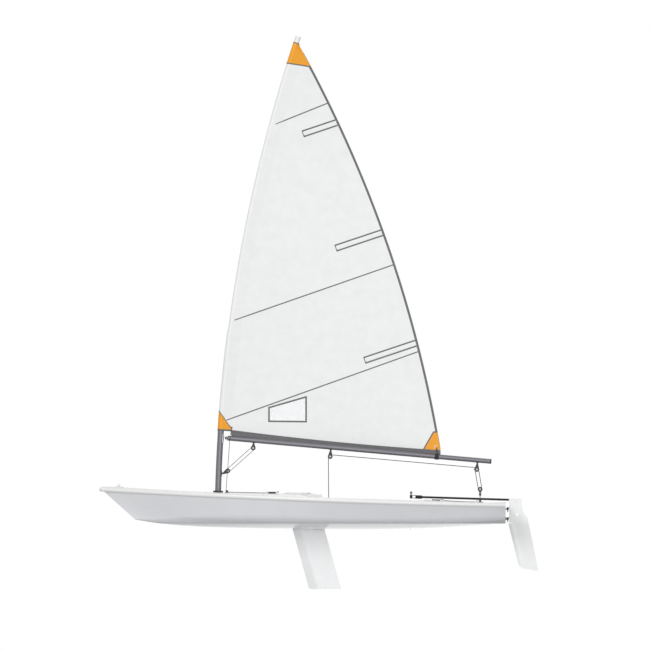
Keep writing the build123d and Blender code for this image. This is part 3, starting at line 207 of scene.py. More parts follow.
# Glass-filled nylon: near black, dull, with the fine grain of its sparked tool.
NYLON = Finish(
    "moulded_nylon", "black_nylon", Pattern.GRAINED, "1E1E20", "131315", 0.46, 1.8, 0.3, ior=1.53
)
HUB_NYLON = Finish(
    "pale_moulded_nylon", "stainless", Pattern.GRAINED, "D3D3D1", "C2C2C0", 0.4, 1.8, 0.2, ior=1.53
)
# Polyester sailcloth: crisp plain weave, filled with resin, so it shows sharp crinkles and a soft
# sheen. The real thread is 0.4 mm; the weave is drawn coarser so that it shows.
SAILCLOTH = Finish(
    "resin_filled_sailcloth", "sailcloth", Pattern.WOVEN, "FAFAF9", "ECEEEF", 0.55, 5.0, 0.25,
    ior=1.57, sheen=0.1,
)
PATCH_CLOTH = Finish(
    "dyed_patch_cloth", "patch_cloth", Pattern.WOVEN, "FBAB1C", "F09D0A", 0.58, 5.0, 0.3,
    ior=1.57, sheen=0.1,
)
# Dark grey band of cloth between the sail's foot and the boom, woven like the sail.
BAND_CLOTH = Finish(
    "dark_grey_foot_band_cloth", "sail_tape", Pattern.WOVEN, "727274", "616164", 0.62, 5.0, 0.3,
    ior=1.57, sheen=0.1,
)
# Polyester binding tape: matt, with a rib across it for each pick of thread and stitch.
TAPE = Finish(
    "sewn_binding_tape", "sail_tape", Pattern.RIBBED, "6D6E70", "57585B", 0.7, 4.0, 0.4,
    ior=1.57, sheen=0.1,
)
# Vinyl window film: clear and glossy, with slow waves.
FILM = Finish(
    "clear_vinyl_film", "window_film", Pattern.POLISHED, "F4F6F7", "E9EDEF", 0.07, 90.0, 0.2,
    alpha=0.32,
)
# Sprayed foil skin: hard white paint over foam, sanded and polished.
FOIL_SKIN = Finish(
    "sprayed_foil_skin", "foil_white", Pattern.POLISHED, "F4F5F5", "E9EAEB", 0.2, 160.0, 0.12,
    coat=0.4,
)
# Moulded rubber: matt and slightly grained.
RUBBER = Finish("moulded_rubber", "rubber", Pattern.GRAINED, "1A1A1C", "101012", 0.74, 2.4, 0.4, ior=1.52)
# Braided polyester line: dull black with a pale fleck, in a diamond braid.
BRAID = Finish(
    "braided_polyester", "rope", Pattern.BRAIDED, "19191C", "55555A", 0.78, 5.0, 0.6,
    ior=1.55, sheen=0.2,
)
# Nylon webbing: black with ribs straight across.
WEBBING = Finish(
    "woven_webbing", "webbing", Pattern.RIBBED, "1B1B1E", "2F2F34", 0.8, 3.0, 0.7, ior=1.55, sheen=0.25
)
# Bonded polyester thread: pale, twisted.
THREAD = Finish(
    "bonded_thread", "webbing", Pattern.BRAIDED, "E4E3DE", "C9C8C2", 0.6, 1.0, 0.4, ior=1.55
)


@dataclass
class Paintbox:
    """Makes each finish's material once and hands it out."""

    made: dict[str, bpy.types.Material] = field(default_factory=dict)
    tread_x: tuple[float, float] = (-1.46, 0.34)
    tread_y: tuple[float, float] = (0.352, 0.585)
    tread_edge: float = 0.012
    tread_upward: Spot = (0.7, 0.85)
    tread_tint: float = 0.3
    coat_roughness: float = 0.06
    gloss_range: Spot = (0.85, 1.25)
    bump_depth: float = 0.125
    crinkles_per_metre: float = 9.0
    crinkle_height: float = 6.0
    clouds_per_metre: float = 5.0
    braid_angle: float = 0.7

    def material(self, finish: Finish) -> bpy.types.Material:
        """Hand out the material of a finish, made on first use.

        Args:
            finish: Which finish.

        Returns:
            Its material.
        """
        if finish.name not in self.made:
            self.made[finish.name] = self.make(finish)
        return self.made[finish.name]

    def make(self, finish: Finish) -> bpy.types.Material:
        """Build the node material of one finish.

        Args:
            finish: Which finish to build.

        Returns:
            The new material.
        """
        material = bpy.data.materials.new(finish.name)
        material.use_nodes = True
        tree = material.node_tree
        shader = tree.nodes["Principled BSDF"]
        constants = {
            "Metallic": finish.metallic,
            "IOR": finish.ior,
            "Coat Weight": finish.coat,
            "Coat Roughness": self.coat_roughness,
            "Sheen Weight": finish.sheen,
            "Alpha": finish.alpha,
        }
        for name, value in constants.items():
            shader.inputs[name].default_value = value
        height, tint = self.pattern(finish, tree)
        mix = add_node(
            tree,
            "ShaderNodeMix",
            {"data_type": "RGBA", 6: linear(finish.colour), 7: linear(finish.shade)},
            {0: tint},
        )
        tree.links.new(mix.outputs[2], shader.inputs["Base Color"])
        smooth, rough = (min(1.0, finish.roughness * share) for share in self.gloss_range)
        gloss = add_node(tree, "ShaderNodeMapRange", {"To Min": smooth, "To Max": rough}, {"Value": tint})
        tree.links.new(gloss.outputs["Result"], shader.inputs["Roughness"])
        depth = self.bump_depth * finish.size_mm / 1000
        bump = add_node(
            tree, "ShaderNodeBump", {"Strength": finish.bump, "Distance": depth}, {"Height": height}
        )
        tree.links.new(bump.outputs["Normal"], shader.inputs["Normal"])
        return material

    def pattern(self, finish: Finish, tree: Tree) -> tuple[Socket, Socket]:
        """Add the surface pattern of a finish.

        Args:
            finish: Which finish.
            tree: Node tree that gets the pattern.

        Returns:
            The pattern's height and its tint, each from zero to one.
        """
        lies = add_node(tree, "ShaderNodeTexCoord", {}, {})
        per_metre = 1000 / finish.size_mm
        if finish.pattern in (Pattern.BRAIDED, Pattern.RIBBED):
            return self.narrow_weave(finish, tree, lies.outputs["UV"], per_metre)
        place = lies.outputs["Object"]
        if finish.pattern is Pattern.WOVEN:
            return self.cloth(tree, place, per_metre)
        if finish.pattern is Pattern.TREAD:
            return self.tread(tree, place, per_metre)
        stretched = add_node(tree, "ShaderNodeMapping", {"Scale": finish.stretch}, {"Vector": place})
        noise = add_node(
            tree,
            "ShaderNodeTexNoise",
            {"Scale": per_metre, "Detail": 4.0, "Roughness": 0.6},
            {"Vector": stretched.outputs["Vector"]},
        )
        return noise.outputs["Fac"], noise.outputs["Fac"]

    def cloth(self, tree: Tree, place: Socket, per_metre: float) -> tuple[Socket, Socket]:
        """Add a plain weave with crinkles.

        Args:
            tree: Node tree that gets the weave.
            place: Coordinates.
            per_metre: Threads in a metre.

        Returns:
            The weave's height and the cloth's slow tint.
        """
        threads = [
            add_node(
                tree,
                "ShaderNodeTexWave",
                {"bands_direction": way, "Scale": per_metre * WAVE_BAND, "Distortion": 0.3},
                {"Vector": place},
            ).outputs["Fac"]
            for way in ("X", "Z")
        ]
        crinkle = add_node(
            tree,
            "ShaderNodeTexNoise",
            {"Scale": self.crinkles_per_metre, "Detail": 6.0, "Roughness": 0.62},
            {"Vector": place},
        ).outputs["Fac"]
        weave = maths(tree, "MULTIPLY", *threads)
        return maths(tree, "MULTIPLY_ADD", crinkle, self.crinkle_height, weave), crinkle

    def tread(self, tree: Tree, place: Socket, per_metre: float) -> tuple[Socket, Socket]:
        """Add the pebbled tread of the side decks, plain gelcoat elsewhere.

        Args:
            tree: Node tree that gets the tread.
            place: Coordinates.
            per_metre: Pebbles in a metre.

        Returns:
            The tread's height and its tint.
        """
        axes = add_node(tree, "ShaderNodeSeparateXYZ", {}, {"Vector": place})
        side = maths(tree, "ABSOLUTE", axes.outputs["Y"])
        faces = add_node(tree, "ShaderNodeNewGeometry", {}, {})
        upward = add_node(tree, "ShaderNodeSeparateXYZ", {}, {"Vector": faces.outputs["Normal"]})
        limits = (
            (axes.outputs["X"], self.tread_x[0], self.tread_x[0] + self.tread_edge),
            (axes.outputs["X"], self.tread_x[1], self.tread_x[1] - self.tread_edge),
            (side, self.tread_y[0], self.tread_y[0] + self.tread_edge),
            (side, self.tread_y[1], self.tread_y[1] - self.tread_edge),
            (upward.outputs["Z"], *self.tread_upward),
        )
        zone: Socket | float = 1.0
        for value, start, full in limits:
            step = add_node(
                tree, "ShaderNodeMapRange", {"From Min": start, "From Max": full}, {"Value": value}
            )
            zone = maths(tree, "MULTIPLY", zone, step.outputs["Result"])
        pebbles = add_node(tree, "ShaderNodeTexVoronoi", {"Scale": per_metre}, {"Vector": place})
        clouds = add_node(
            tree, "ShaderNodeTexNoise", {"Scale": self.clouds_per_metre, "Detail": 3.0}, {"Vector": place}
        )
        tint = maths(tree, "MULTIPLY_ADD", clouds.outputs["Fac"], self.tread_tint, zone)
        return maths(tree, "MULTIPLY", pebbles.outputs["Distance"], zone), maths(tree, "MINIMUM", tint, 1.0)

    def narrow_weave(
        self, finish: Finish, tree: Tree, place: Socket, per_metre: float
    ) -> tuple[Socket, Socket]:
        """Add a braid, or ribs, that follow the piece's own length.

        Args:
            finish: Which finish.
            tree: Node tree that gets the weave.
            place: Coordinates in metres round and along the piece.
            per_metre: Ribs in a metre.

        Returns:
            The weave's height and its tint.
        """
        braided = finish.pattern is Pattern.BRAIDED
        turns = (self.braid_angle, -self.braid_angle) if braided else (0.0, pi / 2)
        waves = []
        for turn in turns:
            turned = add_node(tree, "ShaderNodeMapping", {"Rotation": (0.0, 0.0, turn)}, {"Vector": place})
            waves.append(
                add_node(
                    tree,
                    "ShaderNodeTexWave",
                    {"bands_direction": "Y", "Scale": per_metre * WAVE_BAND, "Distortion": 0.6},
                    {"Vector": turned.outputs["Vector"]},
                ).outputs["Fac"]
            )
        both = maths(tree, "MULTIPLY", *waves)
        return both if braided else waves[0], both


PAINT = Paintbox()


@dataclass
class Workshop:
    """Mesh-making helpers shared by the sub-assemblies."""

    rope_sides: int = 12
    rope_lay: float = 9.0
    steps_per_lay: int = 8
    strands: int = 3
    strand_relief: float = 0.08
    smooth_angle: float = radians(40)

    def only(self, piece: Piece) -> None:
        """Select one piece and make it active.

        Args:
            piece: The piece.
        """
        bpy.ops.object.select_all(action="DESELECT")
        piece.select_set(True)
        bpy.context.view_layer.objects.active = piece

    def grid(
        self, name: str, across: int, along: int, shape: Mapping, extent: Spot = (1.0, 1.0)
    ) -> Piece:
        """Add a grid and lay each of its points on a surface.

        Args:
            name: Name of the new piece.
            across: Number of faces across.
            along: Number of faces along.
            shape: Gives the place of a point from its shares across and along.
            extent: Size of the laid surface each way, for its UV map.

        Returns:
            The new mesh object.
        """
        bpy.ops.object.select_all(action="DESELECT")
        bpy.ops.mesh.primitive_grid_add(x_subdivisions=across, y_subdivisions=along, size=1.0)
        piece = bpy.context.object
        piece.name = name
        for corner in piece.data.uv_layers.active.data:
            corner.uv = (corner.uv[0] * extent[0], corner.uv[1] * extent[1])
        for vertex in piece.data.vertices:
            vertex.co = shape(vertex.co.x + 0.5, vertex.co.y + 0.5)
        return piece

    def edit_all(self, piece: Piece, step: Callable[[], object]) -> Piece:
        """Take one edit-mode step on the whole of a piece and turn its faces outwards.

        Args:
            piece: The mesh.
            step: What to do while all of it is selected.

        Returns:
            The same piece.
        """
        self.only(piece)
        bpy.ops.object.mode_set(mode="EDIT")
        bpy.ops.mesh.select_all(action="SELECT")
        step()
        bpy.ops.mesh.normals_make_consistent(inside=False)
        bpy.ops.object.mode_set(mode="OBJECT")
        return piece

    def close(self, piece: Piece, distance: float = 1e-5) -> Piece:
        """Merge a piece's meeting edges."""
        return self.edit_all(piece, lambda: bpy.ops.mesh.remove_doubles(threshold=distance))

    def cap_ends(self, piece: Piece) -> Piece:
        """Close the open ends of a tube."""
        return self.edit_all(piece, lambda: bpy.ops.mesh.fill_holes(sides=0))

    def finish_with(self, piece: Piece, kind: str, **settings: object) -> Piece:
        """Add one modifier to a piece and apply it.

        Args:
            piece: The mesh.
            kind: Type of the modifier.
            settings: The modifier's properties.

        Returns:
            The same piece.
        """
        self.only(piece)
        tool = piece.modifiers.new(kind.lower(), kind)
        for name, value in settings.items():
            setattr(tool, name, value)
        bpy.ops.object.modifier_apply(modifier=tool.name)
        return piece

    def thicken(self, piece: Piece, thickness: float) -> Piece:
        """Give a sheet its thickness, half to each side."""
        return self.finish_with(piece, "SOLIDIFY", thickness=thickness, offset=0.0)

    def cut(self, piece: Piece, tool: Piece) -> Piece:
        """Cut one piece with another, which is then removed.

        Args:
            piece: What is cut.
            tool: What cuts it.

        Returns:
            The cut piece.
        """
        self.finish_with(piece, "BOOLEAN", operation="DIFFERENCE", object=tool)
        bpy.data.objects.remove(tool)
        return piece

    def raise_faces(self, piece: Piece, inset: float, lift: float) -> Piece:
        """Inset a piece's uppermost face and raise the inner face.

        Args:
            piece: The mesh.
            inset: Width of the border that stays.
            lift: How far the inner face goes up.

        Returns:
            The same piece.
        """
        self.only(piece)
        top = max(v.co.z for v in piece.data.vertices)
        bpy.ops.object.mode_set(mode="EDIT")
        bpy.ops.mesh.select_all(action="DESELECT")
        bpy.ops.object.mode_set(mode="OBJECT")
        for face in piece.data.polygons:
            face.select = face.normal.z > 0.9 and abs(face.center.z - top) < 1e-6
        bpy.ops.object.mode_set(mode="EDIT")
        bpy.ops.mesh.select_mode(type="FACE")
        bpy.ops.mesh.inset(thickness=inset)
        bpy.ops.transform.translate(value=(0.0, 0.0, lift))
        bpy.ops.object.mode_set(mode="OBJECT")
        return piece

    def dress(self, piece: Piece, finish: Finish, body: str | None) -> Piece:
        """Give a piece its finish, its smooth shading and the body that it moves with.

        Args:
            piece: The finished mesh.
            finish: Its finish.
            body: CAD body that it rides on, or None for a piece that rides on no body.

        Returns:
            The same piece.
        """
        piece.data.materials.clear()
        piece.data.materials.append(PAINT.material(finish))
        self.only(piece)
        bpy.ops.object.shade_smooth_by_angle(angle=self.smooth_angle)
        if body is not None:
            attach(piece, body)
        LOG.info("%s: %d faces", piece.name, len(piece.data.polygons))
        return piece

    def place_copy(
        self, master: Piece, name: str, spot: Vector, normal: Vector, finish: Finish, body: str
    ) -> Piece:
        """Copy a small piece, with a mesh of its own, onto a surface.

        Args:
            master: The piece, modelled at the origin and facing up.
            name: Name of the copy.
            spot: Where its foot goes.
            normal: The way that it faces.
            finish: Its finish.
            body: CAD body that it rides on.

        Returns:
            The copy.
        """
        mesh = master.data.copy()
        turn = Vector((0, 0, 1)).rotation_difference(normal).to_matrix().to_4x4()
        mesh.transform(Matrix.Translation(spot) @ turn)
        copy = bpy.data.objects.new(name, mesh)
        bpy.context.scene.collection.objects.link(copy)
        return self.dress(copy, finish, body)

    def deck_height(self, x: float, y: float) -> float:
        """Height of the deck at a place of the plan."""
        return frame["nodes"]["deck"].ray_cast(Vector((x, y, PROBE_HEIGHT)), DOWN)[1].z

    def line(self, name: str, points: list[Vector], radius: float) -> Piece:
        """Model a taut line with its strands along a run of points.

        Args:
            name: Name of the new piece.
            points: Corners of the run.
            radius: Half the line's thickness.

        Returns:
            The new mesh object.
        """
        lay = self.rope_lay * radius
        places: list[Vector] = []
        reached: list[float] = []
        travelled = 0.0
        for start, end in zip(points, points[1:]):
            length = (end - start).length
            steps = max(1, ceil(length / (lay / self.steps_per_lay)))
            for step in range(steps):
                places.append(start.lerp(end, step / steps))
                reached.append(travelled + length * step / steps)
            travelled += length
        places.append(points[-1].copy())
        reached.append(travelled)
        count = len(places)
        side = Vector((0, 1, 0))
        frames: list[tuple[Vector, Vector]] = []
        for i in range(count):
            way = (places[min(i + 1, count - 1)] - places[max(i - 1, 0)]).normalized()
            side = side - way * side.dot(way)
            side = side.normalized() if side.length > 1e-3 else way.orthogonal().normalized()
            frames.append((side.copy(), way.cross(side)))

        def shape(u: float, v: float) -> Vector:
            """Point on the line's skin from its shares round and along."""
            i = round(v * (count - 1))
            angle = 2 * pi * u
            wind = cos(self.strands * angle - 2 * pi * reached[i] / lay)
            swell = radius * (1 + self.strand_relief * (wind - 1))
            first, second = frames[i]
            return places[i] + first * (swell * cos(angle)) + second * (swell * sin(angle))

        skin = self.grid(name, self.rope_sides, count - 1, shape, (2 * pi * radius, travelled))
        return self.cap_ends(self.close(skin))


SHOP = Workshop()


@dataclass
class MastCurve:
    """The mast's line: one long bend aft from the deck up."""

    foot: Vector
    lean: float
    bend_radius: float = 16.3
    lower_radius: float = 0.03175
    top_radius: float = 0.0254
    lower_top: float = 1.6279
    tip: float = 4.8309

    def centre(self) -> Vector:
        """Centre of the bend."""
        return self.foot - Vector((cos(self.lean), 0, sin(self.lean))) * self.bend_radius

    def outward(self, height: float) -> Vector:
        """Direction forward, square to the mast, that far along it from the deck."""
        lean = self.lean + height / self.bend_radius
        return Vector((cos(lean), 0, sin(lean)))

    def point(self, height: float, forward: float = 0.0) -> Vector:
        """Point that far along the mast from the deck and that far in front of its axis."""
        return self.centre() + self.outward(height) * (self.bend_radius + forward)

    def height_at(self, z: float) -> float:
        """Length along the mast from the deck up to a height above the water."""
        return (asin((z - self.centre().z) / self.bend_radius) - self.lean) * self.bend_radius

    def ahead(self, x: float, z: float) -> Spot:
        """Distance of a point in front of the mast's axis, and its length along the mast."""
        off = Vector((x, 0, z)) - self.centre()
        return off.length - self.bend_radius, (atan2(off.z, off.x) - self.lean) * self.bend_radius


@dataclass
class Arc:
    """A circular arc through three points of the side view."""

    start: Spot
    middle: Spot
    end: Spot

    def __post_init__(self) -> None:
        """Work out the circle once."""
        (x1, z1), (x2, z2), (x3, z3) = self.start, self.middle, self.end
        d = 2 * (x1 * (z2 - z3) + x2 * (z3 - z1) + x3 * (z1 - z2))
        s1, s2, s3 = x1 * x1 + z1 * z1, x2 * x2 + z2 * z2, x3 * x3 + z3 * z3
        self.cx = (s1 * (z2 - z3) + s2 * (z3 - z1) + s3 * (z1 - z2)) / d
        self.cz = (s1 * (x3 - x2) + s2 * (x1 - x3) + s3 * (x2 - x1)) / d
        self.radius = hypot(x1 - self.cx, z1 - self.cz)
        self.first = atan2(z1 - self.cz, x1 - self.cx)
        last = atan2(z3 - self.cz, x3 - self.cx)
        self.turn = (last - self.first + pi) % (2 * pi) - pi

    def at(self, share: float) -> Spot:
        """Point at a share of the arc's length."""
        angle = self.first + self.turn * share
        return self.cx + self.radius * cos(angle), self.cz + self.radius * sin(angle)

    def share_at(self, test: Callable[[Spot], bool]) -> float:
        """Find where along the arc a test stops holding.

        Args:
            test: Holds at the start of the arc and not at its end.

        Returns:
            The share of the arc's length, counted from the start.
        """
        low, high = 0.0, 1.0
        for _ in range(40):
            middle = (low + high) / 2
            if test(self.at(middle)):
                low = middle
            else:
                high = middle
        return low


@dataclass(frozen=True)
class Lifts:
    """How far each sewn layer stands off the cloth, so that none lies in another's face."""

    lap: float = 0.0002
    leech_tape: float = 0.0006
    seam: float = 0.0009
    tack_patch: float = 0.0010
    window_binding: float = 0.0010
    patch: float = 0.0012
    pocket: float = 0.0014
    tack_binding: float = 0.0016
    foot_seam: float = 0.0016
    binding: float = 0.0018
    hem: float = 0.0018
    pocket_binding: float = 0.0020
    head_patch: float = 0.0020
    head_binding: float = 0.0026
    batten: float = 0.0026


@dataclass
class Sail:
    """The sail: cambered cloth, luff sleeve, seams, tapes, patches, battens and window."""

    mast: MastCurve
    pieces: list[Piece] = field(default_factory=list)
    camber: float = 0.105
    luff_line: float = -0.104
    leech_reach: float = -2.310
    seam_tail: float = 0.110
    cloth: float = 0.0016
    sleeve_slack: float = 0.0030
    crease: float = 0.0030
    crease_start: float = 0.05
    crease_run: float = 0.32
    crease_pitch: float = 0.19
    crease_wander: Spot = (2.2, 1.7)
    joint_taper: Spot = (0.010, 0.080)
    head_zone: float = 0.10
    least_tail: float = 1.02
    pucker: float = 0.0008
    pucker_pitch: float = 0.06
    tip_clearance: float = 0.0018
    top_row: float = 0.002
    cloth_top: float = 0.003
    cloth_extent: Spot = (2.3, 4.3)
    sleeve_extent: Spot = (0.26, 1.0)
    band_extent: Spot = (2.2, 0.1)
    window_tool_width: float = 0.6
    eye_rim: float = 0.3
    eye_flatness: float = 0.75
    foot_front: Spot = (0.751, level(1.027))
    clew: Spot = (-1.438, level(0.815))
    leech_middle: Spot = (-0.876, level(3.008))
    leech_head: Spot = (0.032, level(5.030))
    foot_sag: float = 0.018
    foot_fairing: int = 6
    cut_area: float = 5.22
    batten_width: float = 0.060
    batten_slope: float = radians(18.5)
    battens: tuple[tuple[float, float], ...] = ((0.8014, 0.384), (0.5249, 0.522), (0.2567, 0.578))
    batten_share: float = 0.6
    batten_bevel: float = 0.0012
    batten_binding: float = 0.015
    pocket_lap: float = 0.004
    leech_tape: float = 0.024
    tape_overhang: float = 0.003
    leech_start: float = 0.003
    window: tuple[Spot, ...] = (
        (0.348, level(1.264)),
        (-0.038, level(1.375)),
        (-0.038, level(1.118)),
        (0.348, level(1.122)),
    )
    seams: tuple[tuple[Spot, float, float], ...] = (
        ((0.214, level(4.242)), level(4.436), 0.075),
        ((0.691, level(2.181)), level(2.753), 0.118),
        ((0.745, level(1.150)), level(1.850), 0.060),
    )
    seam_width: float = 0.012
    binding: float = 0.013
    window_binding: float = 0.017
    hem: Spot = (-0.004, 0.014)
    head_rim: Spot = (-0.004, 0.006)
    band_drop: float = 0.012
    band_lead: float = 0.030
    lifts: Lifts = Lifts()
    head_taper: float = 0.030
    tack_edge: tuple[Spot, Spot] = ((0.873, level(1.239)), (0.747, level(1.051)))
    head_edge: tuple[Spot, Spot] = ((0.140, level(4.848)), (-0.093, level(4.811)))
    head_top: float = level(5.059)
    tack_eye: Spot = (0.735, level(1.058))
    tack_eye_radius: float = 0.010
    clew_patch: tuple[Spot, Spot] = ((-1.365, level(1.010)), (-1.256, level(0.822)))
    clew_eye: Spot = (-1.395, level(0.852))
    clew_eye_radius: float = 0.016

    def __post_init__(self) -> None:
        """Work out the edges that the other sizes give."""
        self.leech = Arc(self.clew, self.leech_middle, self.leech_head)
        (x1, z1), (x2, z2) = self.foot_front, self.clew
        middle = ((x1 + x2) / 2, (z1 + z2) / 2 - self.foot_sag)
        self.foot = Arc(self.foot_front, middle, self.clew)
        self.top_share = self.leech.share_at(lambda spot: self.mast.ahead(*spot)[0] < self.luff_line)
        self.tack_height = self.mast.height_at(self.foot_front[1])
        self.head_height = self.mast.ahead(*self.leech.at(self.top_share))[1] + self.cloth_top
        self.head_reach, self.leech_end = self.mast.ahead(*self.leech_head)
        half = (self.luff_line - self.leech_reach) / 2
        self.half_chord = half
        self.camber_radius = (half * half + self.camber * self.camber) / (2 * self.camber)

    def surface(self, x: float, z: float) -> Vector:
        """Point of the cambered cloth at a place of the side view.

        Args:
            x: Forward of amidships.
            z: Above the water.

        Returns:
            The point on the cloth's middle, with the creases that run back from the sleeve.
        """
        ahead, height = self.mast.ahead(x, z)
        off = ahead - (self.luff_line + self.leech_reach) / 2
        off = max(-self.half_chord, min(self.half_chord, off))
        depth = sqrt(self.camber_radius**2 - off * off) - (self.camber_radius - self.camber)
        back = max(0.0, self.luff_line - ahead)
        fade = (1 - exp(-back / self.crease_start)) * exp(-back / self.crease_run)
        swing, rate = self.crease_wander
        wave = self.crease * fade * sin(2 * pi * height / self.crease_pitch + swing * sin(rate * height))
        return Vector((x, wave - depth, z))

    def keep(self, piece: Piece, finish: Finish, *nodes: str) -> Piece:
        """Dress a piece, ride it on the rig and let it stand for CAD nodes.

        Args:
            piece: The finished mesh.
            finish: Its finish.
            nodes: CAD nodes that it takes the place of.

        Returns:
            The same piece.
        """
        SHOP.dress(piece, finish, "rig")
        if nodes:
            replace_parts(piece, *nodes)
        self.pieces.append(piece)
        return piece

    def build(self) -> None:
        cloth = SHOP.dress(self.build_cloth(), SAILCLOTH, "rig")
        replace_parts(cloth, "sail")
        self.keep(self.build_sleeve(), SAILCLOTH)
        self.build_tapes()
        self.build_battens()
        self.build_tack()
        self.build_head()
        self.build_clew()
        self.build_window()
        self.build_foot_band()
        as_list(self.pieces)

    def build_cloth(self) -> Piece:
        """Lay the main cloth as one continuous curved sheet and cut its window."""

        def shape(u: float, v: float) -> Vector:
            """Point of the cloth from its shares of chord and height."""
            height = self.tack_height + (self.head_height - self.tack_height) * v
            luff = self.mast.point(height, self.luff_line)
            back = self.leech.at(self.top_share * v)
            x = luff.x + (back[0] - luff.x) * u
            z = luff.z + (back[1] - luff.z) * u
            chord = self.foot_front[1] + (self.clew[1] - self.foot_front[1]) * u
            z += (self.foot.at(u)[1] - chord) * (1 - v) ** self.foot_fairing
            return self.surface(x, z)

        cloth = SHOP.close(SHOP.grid("sail_cloth", 72, 180, shape, self.cloth_extent))
        SHOP.thicken(cloth, self.cloth)
        return SHOP.cut(cloth, self.window_tool())

    def window_tool(self) -> Piece:
        """A prism of the window's outline, right across the boat."""
        bpy.ops.object.select_all(action="DESELECT")
        bpy.ops.mesh.primitive_cube_add(size=1.0)
        tool = bpy.context.object
        fore_top, aft_top, aft_low, fore_low = self.window
        for vertex in tool.data.vertices:
            high = vertex.co.z > 0
            if vertex.co.x > 0:
                corner = fore_top if high else fore_low
            else:
                corner = aft_top if high else aft_low
            vertex.co = Vector((corner[0], self.window_tool_width * vertex.co.y, corner[1]))
        return tool

    def sleeve_point(self, around: float, height: float, proud: float = 0.0) -> Vector:
        """Point of the luff sleeve.

        Args:
            around: Share of the way round, from the seam over the front and back to the seam.
            height: Length along the mast from the deck.
            proud: How far outside the sleeve.

        Returns:
            The point.
        """
        start, run = self.joint_taper
        share = max(0.0, min(1.0, (height - self.mast.lower_top - start) / run))
        share = share * share * (3 - 2 * share)
        radius = self.mast.lower_radius + (self.mast.top_radius - self.mast.lower_radius) * share
        radius += self.sleeve_slack
        tail = self.seam_tail
        if height > self.head_height - self.head_zone:
            leech_share = self.leech.share_at(lambda spot: self.mast.ahead(*spot)[1] < height)
            reach = -self.mast.ahead(*self.leech.at(leech_share))[0]
            if height > self.leech_end:
                gone = min(1.0, (height - self.leech_end) / self.head_taper)
                reach = -self.head_reach + (radius + self.head_reach) * gone
            tail = min(tail, reach)
        tail = max(radius * self.least_tail, tail)
        angle = (around - 0.5) * 2 * pi
        off_tail = pi - abs(angle)
        open_angle = acos(min(1.0, radius / tail))
        if off_tail < open_angle:
            pucker = sin(2 * pi * height / self.pucker_pitch) * sin(pi * off_tail / open_angle)
            reach = radius / cos(open_angle - off_tail) + self.pucker * pucker
        else:
            reach = radius
        reach += proud
        side = Vector((0, reach * sin(angle), 0))
        return self.mast.point(height, reach * cos(angle)) + side

    def height_on(self, edge: tuple[Spot, Spot]) -> Edge:
        """Where a straight edge of the side view crosses the sleeve.

        Args:
            edge: The edge's front and back ends.

        Returns:
            A function from the share of the way round the sleeve to the length along the mast.
        """
        (x1, z1), (x2, z2) = edge

        def crossing(around: float) -> float:
            """Length along the mast at which the edge crosses."""
            height = self.mast.height_at((z1 + z2) / 2)
            for _ in range(6):
                spot = self.sleeve_point(around, height)
                share = max(0.0, min(1.0, (spot.x - x2) / (x1 - x2)))
                height += z2 + (z1 - z2) * share - spot.z
            return height

        return crossing

    def band_on(self, edge: tuple[Spot, Spot], width: float) -> tuple[Edge, Edge]:
        """Lower and upper edge of a tape laid over the sleeve along a straight edge of the side view."""
        middle = self.height_on(edge)
        return lambda u: middle(u) - width / 2, lambda u: middle(u) + width / 2

    def sleeve_ring(
        self,
        name: str,
        low: Edge,
        high: Edge,
        rows: int,
        proud: float,
        around: Spot = (0.0, 1.0),
    ) -> Piece:
        """Part of the sleeve between two edges.

        Args:
            name: Name of the new piece.
            low: Gives the lower edge's height from the share of the way round.
            high: Gives the upper edge's height.
            rows: Number of faces along.
            proud: How far outside the sleeve.
            around: Shares of the way round at which it starts and ends.

        Returns:
            The new mesh object.
        """
        edges: dict[float, Spot] = {}

        def shape(u: float, v: float) -> Vector:
            """Point from its shares round and along."""
            share = around[0] + (around[1] - around[0]) * u
            key = round(u, 6)
            if key not in edges:
                edges[key] = (low(share), high(share))
            start, end = edges[key]
            return self.sleeve_point(share, start + (end - start) * v, proud)

        return SHOP.close(SHOP.grid(name, 48, rows, shape, self.sleeve_extent))

    def build_sleeve(self) -> Piece:
        """Model the whole sleeve and close its top over the mast's tip."""
        top = self.mast.tip + self.tip_clearance
        sleeve = self.sleeve_ring("sail_sleeve", lambda u: self.tack_height, lambda u: top, 520, 0.0)
        SHOP.only(sleeve)
        bpy.ops.object.mode_set(mode="EDIT")
        bpy.ops.mesh.select_mode(type="VERT")
        bpy.ops.mesh.select_all(action="DESELECT")
        bpy.ops.object.mode_set(mode="OBJECT")
        for vertex in sleeve.data.vertices:
            vertex.select = self.mast.ahead(vertex.co.x, vertex.co.z)[1] > top - self.top_row
        bpy.ops.object.mode_set(mode="EDIT")
        bpy.ops.mesh.edge_face_add()
        bpy.ops.object.mode_set(mode="OBJECT")
        return sleeve

    def ribbon(
        self, name: str, path: list[Spot], width: float, lift: float, steps: int = 60, across: int = 2
    ) -> Piece:
        """A flat tape sewn to both faces of the cloth along a path of the side view.

        Args:
            name: Name of the new piece.
            path: Points of the path, forward and up.
            width: Width of the tape.
            lift: Thickness to which it stands off each face.
            steps: Number of faces along.
            across: Number of faces across.

        Returns:
            The new mesh object.
        """
        lengths = [hypot(b[0] - a[0], b[1] - a[1]) for a, b in zip(path, path[1:])]
        total = sum(lengths)

        def shape(u: float, v: float) -> Vector:
            """Point of the tape's middle sheet."""
            left = v * total
            leg = 0
            while leg < len(lengths) - 1 and left > lengths[leg]:
                left -= lengths[leg]
                leg += 1
            (x1, z1), (x2, z2) = path[leg], path[leg + 1]
            way = ((x2 - x1) / lengths[leg], (z2 - z1) / lengths[leg])
            off = (u - 0.5) * width
            return self.surface(x1 + way[0] * left - way[1] * off, z1 + way[1] * left + way[0] * off)

        tape = SHOP.close(SHOP.grid(name, across, steps, shape, (width, total)))
        return SHOP.thicken(tape, self.cloth + 2 * lift)

